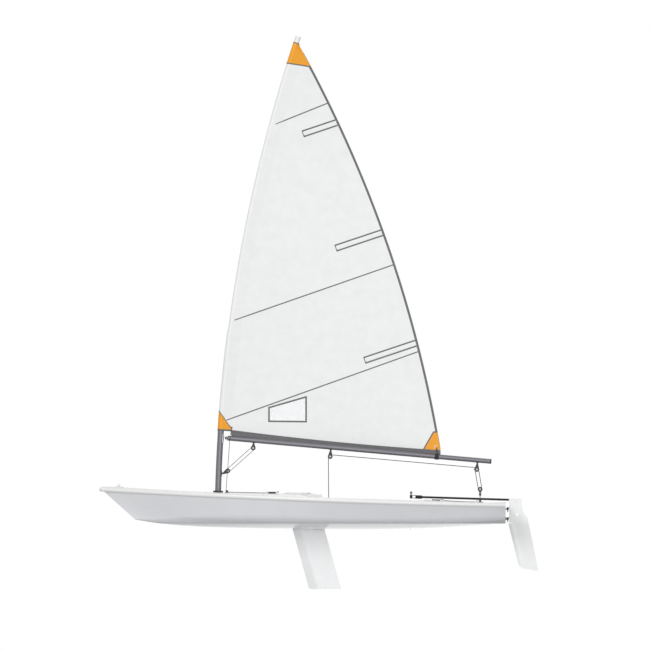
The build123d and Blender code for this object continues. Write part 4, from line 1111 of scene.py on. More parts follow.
    def patch(self, name: str, corners: list[Spot], lift: float, faces: int = 16) -> Piece:
        """A four-cornered patch of extra cloth on both faces of the sail.

        Args:
            name: Name of the new piece.
            corners: Its corners in the side view, in order.
            lift: Thickness to which it stands off each face.
            faces: Number of faces each way.

        Returns:
            The new mesh object.
        """
        a, b, c, d = corners

        def shape(u: float, v: float) -> Vector:
            """Point of the patch's middle sheet."""
            x = (a[0] * (1 - u) + b[0] * u) * (1 - v) + (d[0] * (1 - u) + c[0] * u) * v
            z = (a[1] * (1 - u) + b[1] * u) * (1 - v) + (d[1] * (1 - u) + c[1] * u) * v
            return self.surface(x, z)

        return SHOP.thicken(SHOP.close(SHOP.grid(name, faces, faces, shape)), self.cloth + 2 * lift)

    def bind(self, name: str, corners: list[Spot], width: float, lift: float) -> None:
        """Bind a run of edges with tape, each length lapped over the next at the corner.

        Args:
            name: Name of the tapes, numbered in turn.
            corners: Corners of the run.
            width: Width of the tape.
            lift: Thickness to which it stands off each face.
        """
        legs = list(zip(corners, corners[1:]))
        closed = corners[0] == corners[-1]
        for number, (start, end) in enumerate(legs):
            length = hypot(end[0] - start[0], end[1] - start[1])
            lap = [(b - a) * width / 2 / length for a, b in zip(start, end)]
            if closed or number > 0:
                start = (start[0] - lap[0], start[1] - lap[1])
            if closed or number < len(legs) - 1:
                end = (end[0] + lap[0], end[1] + lap[1])
            over = lift + self.lifts.lap * (number % 2)
            self.keep(self.ribbon(f"{name}_{number}", [start, end], width, over, 24), TAPE)

    def build_tapes(self) -> None:
        """Sew the leech tape and the panel seams."""
        inset = self.leech_tape / 2 - self.tape_overhang
        path = []
        for i in range(101):
            x, z = self.leech.at(self.leech_start + (self.top_share - self.leech_start) * i / 100)
            path.append((x + inset, z))
        self.keep(self.ribbon("leech_tape", path, self.leech_tape, self.lifts.leech_tape, 200), TAPE)
        for number, (front, rise, wrap) in enumerate(self.seams):
            leech = self.leech.at(self.leech.share_at(lambda spot: spot[1] < rise))
            back = (leech[0] + inset, rise)
            lift = self.lifts.seam
            seam = self.ribbon(f"panel_seam_{number}", [front, back], self.seam_width, lift, 80)
            self.keep(seam, TAPE)
            ahead = (2 * front[0] - back[0], 2 * front[1] - back[1])
            low, high = self.band_on((ahead, back), self.seam_width)
            for side, around in (("starboard", (0.0, wrap)), ("port", (1 - wrap, 1.0))):
                end = self.sleeve_ring(f"seam_end_{number}_{side}", low, high, 2, lift, around)
                self.keep(end, TAPE)

    def build_battens(self) -> None:
        """Sew the batten pockets with their bindings; a stiff batten swells the middle of each."""
        forward = (cos(self.batten_slope), -sin(self.batten_slope))
        rim = self.batten_width / 2
        side = (sin(self.batten_slope) * rim, cos(self.batten_slope) * rim)
        for number, (share, length) in enumerate(self.battens):
            edge = self.leech.at(share)
            front = (edge[0] + forward[0] * length, edge[1] + forward[1] * length)
            start = self.leech_tape - self.pocket_lap
            end = (edge[0] + forward[0] * start, edge[1] + forward[1] * start)
            path = [front, end]
            width = self.batten_width
            pocket = self.ribbon(f"batten_pocket_{number}", path, width, self.lifts.pocket, 40, 8)
            self.keep(pocket, SAILCLOTH, "sail_batten_pockets")
            width *= self.batten_share
            batten = self.ribbon(f"batten_{number}", path, width, self.lifts.batten, 40)
            SHOP.finish_with(batten, "BEVEL", width=self.batten_bevel, segments=2)
            self.keep(batten, SAILCLOTH)
            corners = [
                (end[0] + side[0], end[1] + side[1]),
                (front[0] + side[0], front[1] + side[1]),
                (front[0] - side[0], front[1] - side[1]),
                (end[0] - side[0], end[1] - side[1]),
            ]
            self.bind(
                f"batten_binding_{number}", corners, self.batten_binding, self.lifts.pocket_binding
            )

    def build_tack(self) -> None:
        """Sew the orange tack patch round the foot of the sleeve, with its eye."""
        edge = self.height_on(self.tack_edge)
        low = self.tack_height
        patch = self.sleeve_ring("tack_patch", lambda u: low, edge, 24, self.lifts.tack_patch)
        self.keep(patch, PATCH_CLOTH, "sail_corner_patches")
        band = self.band_on(self.tack_edge, self.binding)
        binding = self.sleeve_ring("tack_binding", *band, 3, self.lifts.tack_binding)
        self.keep(binding, TAPE)
        start, end = (low + off for off in self.hem)
        hem = self.sleeve_ring("sleeve_hem", lambda u: start, lambda u: end, 4, self.lifts.hem)
        self.keep(hem, TAPE)
        self.keep(self.eye("tack_eye", self.tack_eye, self.tack_eye_radius), STAINLESS)

    def build_head(self) -> None:
        """Sew the orange head patch over the sleeve and the top of the cloth."""
        edge = self.height_on(self.head_edge)
        top = self.mast.height_at(self.head_top)
        ring = self.sleeve_ring("head_patch_sleeve", edge, lambda u: top, 48, self.lifts.head_patch)
        self.keep(ring, PATCH_CLOTH, "sail_corner_patches")
        low = self.mast.point(edge(0.0), self.luff_line)
        back_share = self.leech.share_at(lambda spot: spot[1] < self.head_edge[1][1])
        high = self.mast.point(self.head_height, self.luff_line)
        back, tip = self.leech.at(back_share), self.leech.at(self.top_share)
        corners = [(low.x, low.z), back, tip, (high.x, high.z)]
        patch = self.patch("head_patch", corners, self.lifts.patch)
        self.keep(patch, PATCH_CLOTH, "sail_corner_patches")
        self.bind("head_binding", corners[:2], self.binding, self.lifts.binding)
        band = self.band_on(self.head_edge, self.binding)
        hoop = self.sleeve_ring("head_binding_sleeve", *band, 3, self.lifts.head_binding)
        self.keep(hoop, TAPE)
        start, end = (top + off for off in self.head_rim)
        rim = self.sleeve_ring("head_rim", lambda u: start, lambda u: end, 3, self.lifts.head_binding)
        self.keep(rim, TAPE)

    def build_clew(self) -> None:
        """Sew the orange clew patch and press in its eye."""
        share = self.leech.share_at(lambda spot: spot[1] < self.clew_patch[0][1])
        corners = [self.leech.at(share), *self.clew_patch, self.clew]
        patch = self.patch("clew_patch", corners, self.lifts.patch)
        self.keep(patch, PATCH_CLOTH, "sail_corner_patches")
        self.bind("clew_binding", corners[:3], self.binding, self.lifts.binding)
        self.keep(self.eye("clew_eye", self.clew_eye, self.clew_eye_radius), STAINLESS)

    def eye(self, name: str, spot: Spot, radius: float) -> Piece:
        """A pressed ring through the cloth.

        Args:
            name: Name of the new piece.
            spot: Its place in the side view.
            radius: Radius of the middle of its rim.

        Returns:
            The new mesh object.
        """
        bpy.ops.object.select_all(action="DESELECT")
        bpy.ops.mesh.primitive_torus_add(
            major_radius=radius, minor_radius=self.eye_rim * radius, major_segments=32, minor_segments=10
        )
        ring = bpy.context.object
        ring.name = name
        for vertex in ring.data.vertices:
            vertex.co.z *= self.eye_flatness
        SHOP.finish_with(ring, "SUBSURF", levels=1, render_levels=1)
        middle = self.surface(*spot)
        turn = Matrix.Rotation(-pi / 2, 4, "X")
        ring.data.transform(Matrix.Translation(middle) @ turn)
        return ring

    def build_window(self) -> None:
        """Fit the clear film and bind its edge."""
        film = self.patch("window_film", list(self.window), 0.0)
        self.keep(film, FILM, "sail_window")
        corners = [*self.window, self.window[0]]
        self.bind("window_binding", corners, self.window_binding, self.lifts.window_binding)

    def build_foot_band(self) -> None:
        """Hang the dark band between the foot and the boom."""
        low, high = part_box("sail_foot_band")
        start = self.foot.share_at(lambda spot: spot[0] > high.x + self.band_lead)

        def shape(u: float, v: float) -> Vector:
            """Point of the band from its shares along and up."""
            x, top = self.foot.at(start + (1 - start) * u)
            bottom = low.z - self.band_drop + (x - low.x) * tan(BOOM_SLOPE)
            return self.surface(x, bottom + (top - bottom) * v)

        band = SHOP.close(SHOP.grid("foot_band", 100, 4, shape, self.band_extent))
        self.keep(SHOP.thicken(band, self.cloth), BAND_CLOTH, "sail_foot_band")
        seam = [self.foot.at(start + (1 - start) * i / 40) for i in range(41)]
        self.keep(self.ribbon("foot_seam", seam, self.seam_width, self.lifts.foot_seam, 100), TAPE)


@dataclass
class Mouldings:
    """The CAD pieces that keep their shapes and get a finish."""

    finishes: tuple[tuple[Finish, tuple[str, ...]], ...] = (
        (HULL_GELCOAT, ("hull",)),
        (DECK_GELCOAT, ("deck",)),
        (STAINLESS, ("bow_eye", "self_bailer", "rudder_bolt", "gooseneck")),
        (MAST_ALLOY, ("mast_lower", "mast_upper")),
        (BOOM_ALLOY, ("boom",)),
        (TILLER_ALLOY, ("tiller", "tiller_extension")),
        (FOIL_SKIN, ("daggerboard", "rudder_head", "rudder_blade", "daggerboard_stop")),
        (RUBBER, ("tiller_joint", "extension_grip", "grab_rails")),
    )

    def build(self) -> None:
        """Finish each CAD node; what isn't listed is moulded nylon."""
        finish_of = {node: finish for finish, nodes in self.finishes for node in nodes}
        for name, node in frame["nodes"].items():
            finish = finish_of.get(name, NYLON)
            node.data.materials.clear()
            node.data.materials.append(PAINT.material(finish))
            LOG.info("%s: %s", name, finish.name)


def round_run(centre: Vector, radius: float, start: float, end: float, steps: int = 14) -> list[Vector]:
    """Points round a sheave, in the side view.

    Args:
        centre: The sheave's centre.
        radius: Radius at which the line's middle runs.
        start: Angle of the first point in degrees, counted from forward over the top.
        end: Angle of the last point.
        steps: Number of runs.

    Returns:
        The points in order.
    """
    angles = [radians(start + (end - start) * i / steps) for i in range(steps + 1)]
    return [centre + Vector((radius * cos(a), 0, radius * sin(a))) for a in angles]


@dataclass
class Rigging:
    """The running lines: mainsheet, vang, sail controls, traveller and clew tie."""

    tack_eye: Vector
    sheet_radius: float = 0.004
    control_radius: float = 0.003
    tie_radius: float = 0.0025
    knot_size: float = 0.85
    knot_depth: float = 1.3
    sheave_floor: float = 0.015
    block_radius: float = 0.025
    boom_crest: float = 95.0
    ratchet_turn: float = 345.0
    becket_rise: float = 0.004
    stopper_off: tuple[float, float, float] = (0.006, 0.0, 0.010)
    control_y: float = 0.024
    turning_drop: float = 0.0085
    turning_radius: float = 0.010
    past_boom: tuple[float, float, float] = (0.752, 0.036, 0.915)
    bight_radius: float = 0.006
    bight_drop: float = 0.004
    off_deck: float = 0.0015
    cleat_lead: float = 0.020
    cleat_tail: float = 0.012
    jaw_depth: float = 0.0015
    tail_knot: float = 0.008
    eye_depth: float = 0.011
    eye_inset: Spot = (0.006, 0.012)
    leg_off_deck: float = 0.001
    leg_gap: float = 0.003
    leg_drop: float = 0.12
    leg_climb: float = 0.10
    leg_steps: int = 25
    leg_bite: float = 0.002
    tail_past_cleat: tuple[float, float, float] = (0.010, 0.0, -0.001)
    clew_ties: Spot = (-1.404, -1.397)
    tie_reach: float = 0.0316
    tie_arc: Spot = (20.0, -200.0)
    tie_eye: tuple[float, float, float] = (0.004, -0.006, level(0.846))

    def centre(self, node: str, high: bool = False) -> Vector:
        """Find a block's sheave from its node's box.

        Args:
            node: CAD node of the block.
            high: Whether the sheave is at the block's top.

        Returns:
            The sheave's centre.
        """
        low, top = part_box(node)
        z = top.z - self.block_radius if high else low.z + self.block_radius
        return Vector(((low.x + top.x) / 2, 0, z))

    def keep(self, name: str, points: list[Vector], radius: float, body: str) -> Piece:
        """Model one line that moves with a single body."""
        return SHOP.dress(SHOP.line(name, points, radius), BRAID, body)

    def bridge(self, name: str, points: list[Vector], radius: float) -> Piece:
        """Model one line from the hull up to the rig, on no body, with its transform baked into its mesh.

        Args:
            name: Name of the new piece.
            points: Points of the line, from the hull up.
            radius: Half its thickness.

        Returns:
            The new mesh object.
        """
        line = SHOP.dress(SHOP.line(name, points, radius), BRAID, None)
        tuple(points[0])
        tuple(points[-1])
        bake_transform(line)
        return line

    def knot(self, name: str, spot: Vector, radius: float, body: str) -> Piece:
        """A stopper knot, tied as one closed turn through itself.

        Args:
            name: Name of the new piece.
            spot: Its middle.
            radius: Half the line's thickness.
            body: CAD body that it rides on.

        Returns:
            The new mesh object.
        """
        points = []
        for i in range(49):
            t = 2 * pi * i / 48
            loop = Vector((sin(t) + 2 * sin(2 * t), cos(t) - 2 * cos(2 * t), -self.knot_depth * sin(3 * t)))
            points.append(spot + loop * (self.knot_size * radius))
        return self.keep(name, points, self.knot_size * radius, body)

    def build(self) -> None:
        """Reeve every line."""
        self.build_mainsheet()
        self.build_vang()
        self.build_controls()
        self.build_traveller()
        self.build_clew_tie()

    def build_mainsheet(self) -> None:
        """Reeve the mainsheet: boom run, two falls at the stern and the fall in the cockpit."""
        end, middle = self.centre("boom_end_block"), self.centre("boom_mid_block")
        lower, ratchet = self.centre("traveller_block", True), self.centre("ratchet_block", True)
        thick = self.sheet_radius
        run = self.sheave_floor + thick
        shift = Vector((run, 0, 0))
        route = round_run(middle, run, 0, self.boom_crest) + round_run(end, run, self.boom_crest, 180)
        self.keep("mainsheet_boom_run", route, thick, "rig")
        self.bridge("mainsheet_aft_fall", [lower - shift, end - shift], thick)
        self.keep("mainsheet_lower_turn", round_run(lower, run, 180, 360), thick, "hull")
        self.bridge("mainsheet_fore_fall", [lower + shift, end + shift], thick)
        self.knot("mainsheet_becket_knot", end + shift + Vector((0, 0, self.becket_rise)), thick, "rig")
        self.bridge("mainsheet_cockpit_fall", [ratchet - shift, middle + shift], thick)
        turn = round_run(ratchet, run, 180, self.ratchet_turn)
        self.keep("mainsheet_ratchet_turn", turn, thick, "hull")
        self.knot("mainsheet_stopper", turn[-1] + Vector(self.stopper_off), thick, "hull")

    def build_vang(self) -> None:
        """Reeve the vang's two parts between its blocks."""
        upper = self.centre("vang_upper_block")
        low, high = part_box("vang_lower_block")
        lower = Vector((low.x + self.block_radius, 0, high.z - self.block_radius))
        thick = self.control_radius
        run = self.sheave_floor + thick
        slope = atan2(upper.z - lower.z, upper.x - lower.x) * 180 / pi
        route = round_run(upper, run, slope + 90, slope - 90)
        route += round_run(lower, run, slope - 90, slope - 270)
        route.append(route[0].copy())
        self.keep("vang_purchase", route, thick, "rig")

    def build_controls(self) -> None:
        """Lead the two sail controls down to the deck, aft to their cleats, and knot them."""
        low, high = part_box("turning_blocks")
        cleat_low, cleat_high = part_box("control_cleats")
        thick = self.control_radius
        boom_x, boom_y, boom_z = self.past_boom
        for name, side in SIDES:
            y = side * self.control_y
            sheave = Vector(((low.x + high.x) / 2, y, high.z - self.turning_drop))
            start = sheave + Vector((self.turning_radius, 0, 0))
            past_boom = Vector((boom_x, side * boom_y, boom_z))
            top = self.tack_eye + Vector((0, side * self.bight_radius, -self.bight_drop))
            self.bridge(f"control_line_{name}", [start, past_boom, top], thick)
            route = round_run(sheave, self.turning_radius, 0, -90)
            front, aft = route[-1].x, cleat_low.x - self.cleat_tail
            for i in range(1, 17):
                x = front + (aft - front) * i / 16
                z = SHOP.deck_height(x, y) + thick + self.off_deck
                if cleat_low.x - self.cleat_lead < x < cleat_high.x + self.cleat_lead:
                    z = cleat_high.z - self.jaw_depth
                route.append(Vector((x, y, z)))
            self.keep(f"deck_control_{name}", route, thick, "hull")
            self.knot(f"control_stopper_{name}", route[-1] - Vector((self.tail_knot, 0, 0)), thick, "hull")
        eye = self.tack_eye - Vector((0, 0, self.bight_drop))
        bow = [radians(180 * i / 10) for i in range(11)]
        turn = [eye + Vector((0, cos(a), sin(a))) * self.bight_radius for a in bow]
        self.keep("control_line_bight", turn, thick, "rig")

    def build_traveller(self) -> None:
        """Lay the traveller over its sheave and lead both ends forward to the cleat."""
        low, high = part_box("traveller_rope")
        eyes_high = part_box("traveller_fairleads")[1]
        cleat_low, cleat_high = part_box("traveller_cleat")
        thick = self.control_radius
        x = (low.x + high.x) / 2
        sheave = self.centre("traveller_block")
        run = self.sheave_floor + thick
        line_inset, leg_inset = self.eye_inset
        eye = Vector((x, high.y - line_inset, eyes_high.z - self.eye_depth))
        off = eye - sheave
        touch = atan2(off.z, off.y) + acos(run / hypot(off.y, off.z))
        arc = [pi - touch + (2 * touch - pi) * i / 10 for i in range(11)]
        route = [Vector((x, -eye.y, eye.z))]
        route += [sheave + Vector((0, run * cos(a), run * sin(a))) for a in arc]
        route.append(eye)
        line = self.keep("traveller_line", route, thick, "hull")
        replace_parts(line, "traveller_rope")
        for name, side in SIDES:
            start = Vector((x, side * (eyes_high.y - leg_inset), eye.z))
            aft = Vector((cleat_low.x - self.cleat_lead, side * self.leg_gap, cleat_high.z - self.leg_bite))
            points = []
            for i in range(self.leg_steps + 1):
                share = i / self.leg_steps
                spot = start.lerp(aft, share)
                rest = SHOP.deck_height(spot.x, spot.y) + thick + self.leg_off_deck
                drop = max(0.0, 1 - share / self.leg_drop)
                climb = max(0.0, 1 - (1 - share) / self.leg_climb)
                spot.z = rest + (start.z - rest) * drop + (aft.z - rest) * climb
                points.append(spot)
            if side == 1:
                points.append(Vector((cleat_high.x, 0, cleat_high.z)) + Vector(self.tail_past_cleat))
            self.keep(f"traveller_leg_{name}", points, thick, "hull")
            self.knot(f"traveller_knot_{name}", points[-1], thick, "hull")

    def build_clew_tie(self) -> None:
        """Lash the clew's eye down round the boom."""
        low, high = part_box("clew_strap")
        axis = (low + high) / 2
        first, last = self.tie_arc
        for number, x in enumerate(self.clew_ties):
            z = axis.z + (x - axis.x) * tan(BOOM_SLOPE)
            eye = Vector(self.tie_eye) + Vector((x, 0, 0))
            arc = [radians(first + (last - first) * i / 20) for i in range(21)]
            turn = [Vector((x, self.tie_reach * cos(a), z + self.tie_reach * sin(a))) for a in arc]
            self.keep(f"clew_tie_{number}", [eye, *turn, eye.copy()], self.tie_radius, "rig")


@dataclass
class Webbing:
    """The hiking strap with its stitching, and the strap round the boom at the clew."""

    strap_width: float = 0.05
    strap_thickness: float = 0.0032
    corner: float = 0.014
    sag: float = 0.006
    tab_inset: float = 0.002
    run_drop: float = 0.047
    strap_bevel: float = 0.0008
    bevel_limit: float = radians(50)
    stitch_length: float = 0.0052
    stitch_radius: float = 0.0007
    stitch_flatness: float = 1.4
    stitch_bevel: float = 0.0003
    stitch_pitch: float = 0.0075
    sewn_box: Spot = (0.034, 0.018)
    sewn_inset: float = 0.062
    clew_width: float = 0.044
    clew_thickness: float = 0.0022
    clew_reach: Spot = (0.0272, 0.0308)
    clew_turn: Spot = (-100.0, 330.0)
    clew_length: float = 0.21
    clew_bevel: float = 0.0006

    def build(self) -> None:
        """Sew both straps."""
        self.build_hiking_strap()
        self.build_clew_strap()

    def build_hiking_strap(self) -> None:
        """Lay the strap along the cockpit with a tab up, or down, the wall at each end."""
        low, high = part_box("hiking_strap")
        run_z = high.z - self.run_drop
        front_x, aft_x = high.x - self.tab_inset, low.x + self.tab_inset
        r = self.corner
        path = [Vector((front_x, 0, low.z + (run_z - r - low.z) * i / 6)) for i in range(7)]
        path += round_run(Vector((front_x - r, 0, run_z - r)), r, 0, 90, 8)[1:]
        span = (front_x - r) - (aft_x + r)
        for i in range(1, 40):
            share = i / 40
            dip = self.sag * sin(pi * share)
            path.append(Vector((front_x - r - span * share, 0, run_z - dip)))
        path += round_run(Vector((aft_x + r, 0, run_z + r)), r, 270, 180, 8)
        path += [Vector((aft_x, 0, run_z + r + (high.z - run_z - r) * i / 6)) for i in range(1, 7)]
        count = len(path)
        length = sum((b - a).length for a, b in zip(path, path[1:]))

        def shape(u: float, v: float) -> Vector:
            """Point of the strap's middle sheet."""
            return path[round(v * (count - 1))] + Vector((0, (u - 0.5) * self.strap_width, 0))

        strap = SHOP.grid("hiking_webbing", 8, count - 1, shape, (self.strap_width, length))
        SHOP.thicken(SHOP.close(strap), self.strap_thickness)
        SHOP.finish_with(strap, "BEVEL", width=self.strap_bevel, segments=2, angle_limit=self.bevel_limit)
        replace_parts(SHOP.dress(strap, WEBBING, "hull"), "hiking_strap")
        top = run_z + self.strap_thickness / 2
        for number, x in enumerate((front_x - self.sewn_inset, aft_x + self.sewn_inset)):
            self.sew_box(f"strap_stitching_{number}", Vector((x, 0, top)))

    def sew_box(self, name: str, middle: Vector) -> None:
        """Sew a box with a cross in it through the strap.

        Args:
            name: Name of the stitching.
            middle: Middle of the box on the strap's top.
        """
        bpy.ops.object.select_all(action="DESELECT")
        bpy.ops.mesh.primitive_cylinder_add(
            vertices=6, radius=self.stitch_radius, depth=self.stitch_length
        )
        stitch = bpy.context.object
        for vertex in stitch.data.vertices:
            vertex.co.x *= self.stitch_flatness
        SHOP.finish_with(stitch, "BEVEL", width=self.stitch_bevel, segments=1)
        a, b = self.sewn_box
        corners = [(a, b), (-a, b), (-a, -b), (a, -b), (a, b), (-a, -b)]
        runs = list(zip(corners, corners[1:])) + [((a, -b), (-a, b))]
        made = []
        for (x1, y1), (x2, y2) in runs:
            length = hypot(x2 - x1, y2 - y1)
            way = Vector((x2 - x1, y2 - y1, 0)) / length
            for i in range(int(length / self.stitch_pitch)):
                spot = middle + Vector((x1, y1, 0)) + way * (self.stitch_pitch * (i + 0.5))
                made.append(SHOP.place_copy(stitch, name, spot, way, THREAD, "hull"))
        bpy.data.objects.remove(stitch)
        SHOP.only(made[0])
        for copy in made[1:]:
            copy.select_set(True)
        bpy.ops.object.join()

    def build_clew_strap(self) -> None:
        """Wrap the strap a little more than once round the boom."""
        low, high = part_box("clew_strap")
        middle = (low + high) / 2
        along = Vector((cos(BOOM_SLOPE), 0, sin(BOOM_SLOPE)))
        up = Vector((-sin(BOOM_SLOPE), 0, cos(BOOM_SLOPE)))
        (first, last), (inner, outer) = self.clew_turn, self.clew_reach

        def shape(u: float, v: float) -> Vector:
            """Point of the strap's middle sheet."""
            angle = radians(first + (last - first) * v)
            reach = inner + (outer - inner) * v
            ring = Vector((0, reach * cos(angle), 0)) + up * (reach * sin(angle))
            return middle + along * ((u - 0.5) * self.clew_width) + ring

        strap = SHOP.grid("clew_webbing", 6, 70, shape, (self.clew_width, self.clew_length))
        SHOP.thicken(strap, self.clew_thickness)
        SHOP.finish_with(strap, "BEVEL", width=self.clew_bevel, segments=2, angle_limit=self.bevel_limit)
        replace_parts(SHOP.dress(strap, WEBBING, "rig"), "clew_strap")


def fore_and_aft(half: float, y: float = 0.0) -> tuple[Spot, Spot]:
    """Two places that far astern and ahead of a fitting's middle, and that far to port."""
    return (-half, y), (half, y)


@dataclass
class Hardware:
    """Screws, rivets and sheave hubs, each modelled once and copied."""

    mast: MastCurve
    screw_radius: float = 0.0045
    screw_height: float = 0.0018
    recess: tuple[float, float, float] = (1.1, 0.25, 0.0016)
    recess_middle: float = 0.0026
    rivet_radius: float = 0.0042
    rivet_height: float = 0.0016
    hub_radius: float = 0.0105
    hub_height: float = 0.0030
    block_radius: float = 0.025
    cheek: float = 0.011
    deck_screws: tuple[tuple[str, str, tuple[Spot, ...]], ...] = (
        ("bow_eye", "hull", fore_and_aft(0.030)),
        ("control_cleats", "hull", fore_and_aft(0.030)),
        ("turning_blocks", "hull", fore_and_aft(0.013)),
        ("traveller_fairleads", "hull", fore_and_aft(0.023, 0.45) + fore_and_aft(0.023, -0.45)),
        ("mast_ring", "hull", ((0.030, 0.030), (0.030, -0.030), (-0.030, 0.030), (-0.030, -0.030))),
        ("ratchet_block", "hull", ((0.0, 0.0195), (0.0, -0.0195), (0.0195, 0.0), (-0.0195, 0.0))),
        ("daggerboard_stop", "board", fore_and_aft(-0.095)),
    )
    gudgeon_screw: Spot = (0.021, 0.007)
    plug_rivet_x: float = 0.752
    boom_axis_drop: float = 0.026
    strap_rivet: Spot = (0.003, 0.010)
    head_rivets: tuple[Spot, ...] = ((0.014, 0.030), (0.014, 0.120), (0.014, 0.200), (0.075, 0.222))
    mast_rivets: tuple[tuple[str, float], ...] = (("gooseneck", 30.0), ("vang_lower_block", 20.0))
    mast_rivet_rows: Spot = (0.15, 0.85)
    tang_height: float = 0.060
    probe: float = 0.2
    dome: tuple[Spot, ...] = ((0.35, 0.3), (0.3, 0.1))
    rim_bevel: float = 0.08
    bevel_limit: float = radians(40)

    def build(self) -> None:
        """Fit every fastener and hub."""
        self.screw = self.model("screw", self.screw_radius, self.screw_height, 20)
        self.slot_screw()
        self.rivet = self.model("rivet", self.rivet_radius, self.rivet_height, 16)
        self.hub = self.model("hub", self.hub_radius, self.hub_height, 32)
        self.fit_deck_screws()
        self.fit_side_rivets()
        self.fit_mast_rivets()
        self.fit_hubs()
        for master in (self.screw, self.rivet, self.hub):
            bpy.data.objects.remove(master)

    def model(self, name: str, radius: float, height: float, sides: int) -> Piece:
        """Model a low domed head that stands on the origin.

        Args:
            name: Name of the master piece.
            radius: Its radius.
            height: Height of its rim.
            sides: Number of faces round it.

        Returns:
            The new mesh object.
        """
        bpy.ops.object.select_all(action="DESELECT")
        bpy.ops.mesh.primitive_cylinder_add(
            vertices=sides, radius=radius, depth=height, location=(0, 0, height / 2)
        )
        head = bpy.context.object
        head.name = name
        bpy.ops.object.transform_apply(location=True)
        for inset, lift in self.dome:
            SHOP.raise_faces(head, inset * radius, lift * height)
        rim = self.rim_bevel * radius
        return SHOP.finish_with(head, "BEVEL", width=rim, segments=2, angle_limit=self.bevel_limit)

    def slot_screw(self) -> None:
        """Cut a cross recess in the screw's head."""
        length, width, depth = self.recess
        size = Matrix.Diagonal((length * self.screw_radius, width * self.screw_radius, depth, 1.0))
        place = Matrix.Translation((0, 0, self.recess_middle))
        for turn in (0.0, pi / 2):
            bpy.ops.object.select_all(action="DESELECT")
            bpy.ops.mesh.primitive_cube_add(size=1.0)
            blade = bpy.context.object
            blade.data.transform(place @ Matrix.Rotation(turn, 4, "Z") @ size)
            SHOP.cut(self.screw, blade)

    def fit(
        self, master: Piece, name: str, node: str, start: Vector, way: Vector, body: str
    ) -> None:
        """Set one copy where a probe meets a CAD node.

        Args:
            master: What to copy.
            name: Name of the copy.
            node: CAD node that it is set in.
            start: Where the probe starts.
            way: The probe's direction.
            body: CAD body that it rides on.
        """
        met, spot, normal, _ = frame["nodes"][node].ray_cast(start, way.normalized())
        if not met:
            LOG.warning("%s: nothing to hold it", name)
            return
        SHOP.place_copy(master, name, spot, normal, STAINLESS, body)

    def fit_deck_screws(self) -> None:
        """Screw the deck fittings down, and the gudgeons to the transom."""
        for node, body, spots in self.deck_screws:
            low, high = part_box(node)
            for number, (dx, dy) in enumerate(spots):
                start = (low + high) / 2 + Vector((dx, dy, 0))
                start.z = high.z + self.probe
                self.fit(self.screw, f"{node}_screw_{number}", node, start, DOWN, body)
        low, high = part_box("gudgeons")
        off, rise = self.gudgeon_screw
        spots = [(y, z) for z in (low.z + rise, high.z - rise) for y in (off, -off)]
        for number, (y, z) in enumerate(spots):
            start = Vector((low.x - self.probe, y, z))
            self.fit(self.screw, f"gudgeon_screw_{number}", "gudgeons", start, Vector((1, 0, 0)), "hull")

    def fit_side_rivets(self) -> None:
        """Rivet the boom's straps and plug, and the rudder head's cheeks."""
        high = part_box("boom")[1]
        x = self.plug_rivet_x
        z = high.z - self.boom_axis_drop - (high.x - x) * tan(BOOM_SLOPE)
        table = [("boom_plug_rivet", "boom", "rig", x, z)]
        ahead, below = self.strap_rivet
        for node in ("vang_upper_block", "boom_mid_block", "boom_end_block"):
            low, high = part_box(node)
            table.append((f"{node}_rivet", node, "rig", (low.x + high.x) / 2 + ahead, high.z - below))
        low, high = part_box("rudder_head")
        for number, (dx, dz) in enumerate(self.head_rivets):
            table.append((f"rudder_head_rivet_{number}", "rudder_head", "rudder", high.x - dx, low.z + dz))
        for name, node, body, x, z in table:
            for side in (1, -1):
                start = Vector((x, side * self.probe, z))
                self.fit(self.rivet, f"{name}_{side + 1}", node, start, Vector((0, -side, 0)), body)

    def fit_mast_rivets(self) -> None:
        """Rivet the gooseneck and the vang's tang to the mast."""
        for node, spread in self.mast_rivets:
            low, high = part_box(node)
            top = high.z if node == "gooseneck" else low.z + self.tang_height
            spots = [(turn, share) for share in self.mast_rivet_rows for turn in (spread, -spread)]
            for number, (turn, share) in enumerate(spots):
                z = low.z + (top - low.z) * share
                axis = self.mast.point(self.mast.height_at(z))
                way = Vector((cos(radians(turn)), -sin(radians(turn)), 0))
                start = axis - way * self.probe
                self.fit(self.rivet, f"{node}_rivet_mast_{number}", node, start, way, "rig")

    def fit_hubs(self) -> None:
        """Press a pale hub into each face of each block."""
        number = 0
        for node, body, sheave_high in (
            ("vang_upper_block", "rig", False),
            ("boom_mid_block", "rig", False),
            ("boom_end_block", "rig", False),
            ("vang_lower_block", "rig", True),
            ("ratchet_block", "hull", True),
            ("traveller_block", "hull", True),
        ):
            low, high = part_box(node)
            x = low.x + self.block_radius if node == "vang_lower_block" else (low.x + high.x) / 2
            z = high.z - self.block_radius if sheave_high else low.z + self.block_radius
            for side in (1, -1):
                spot, way = Vector((x, side * self.cheek, z)), Vector((0, side, 0))
                SHOP.place_copy(self.hub, f"{node}_hub_{number}", spot, way, HUB_NYLON, body)
                number += 1


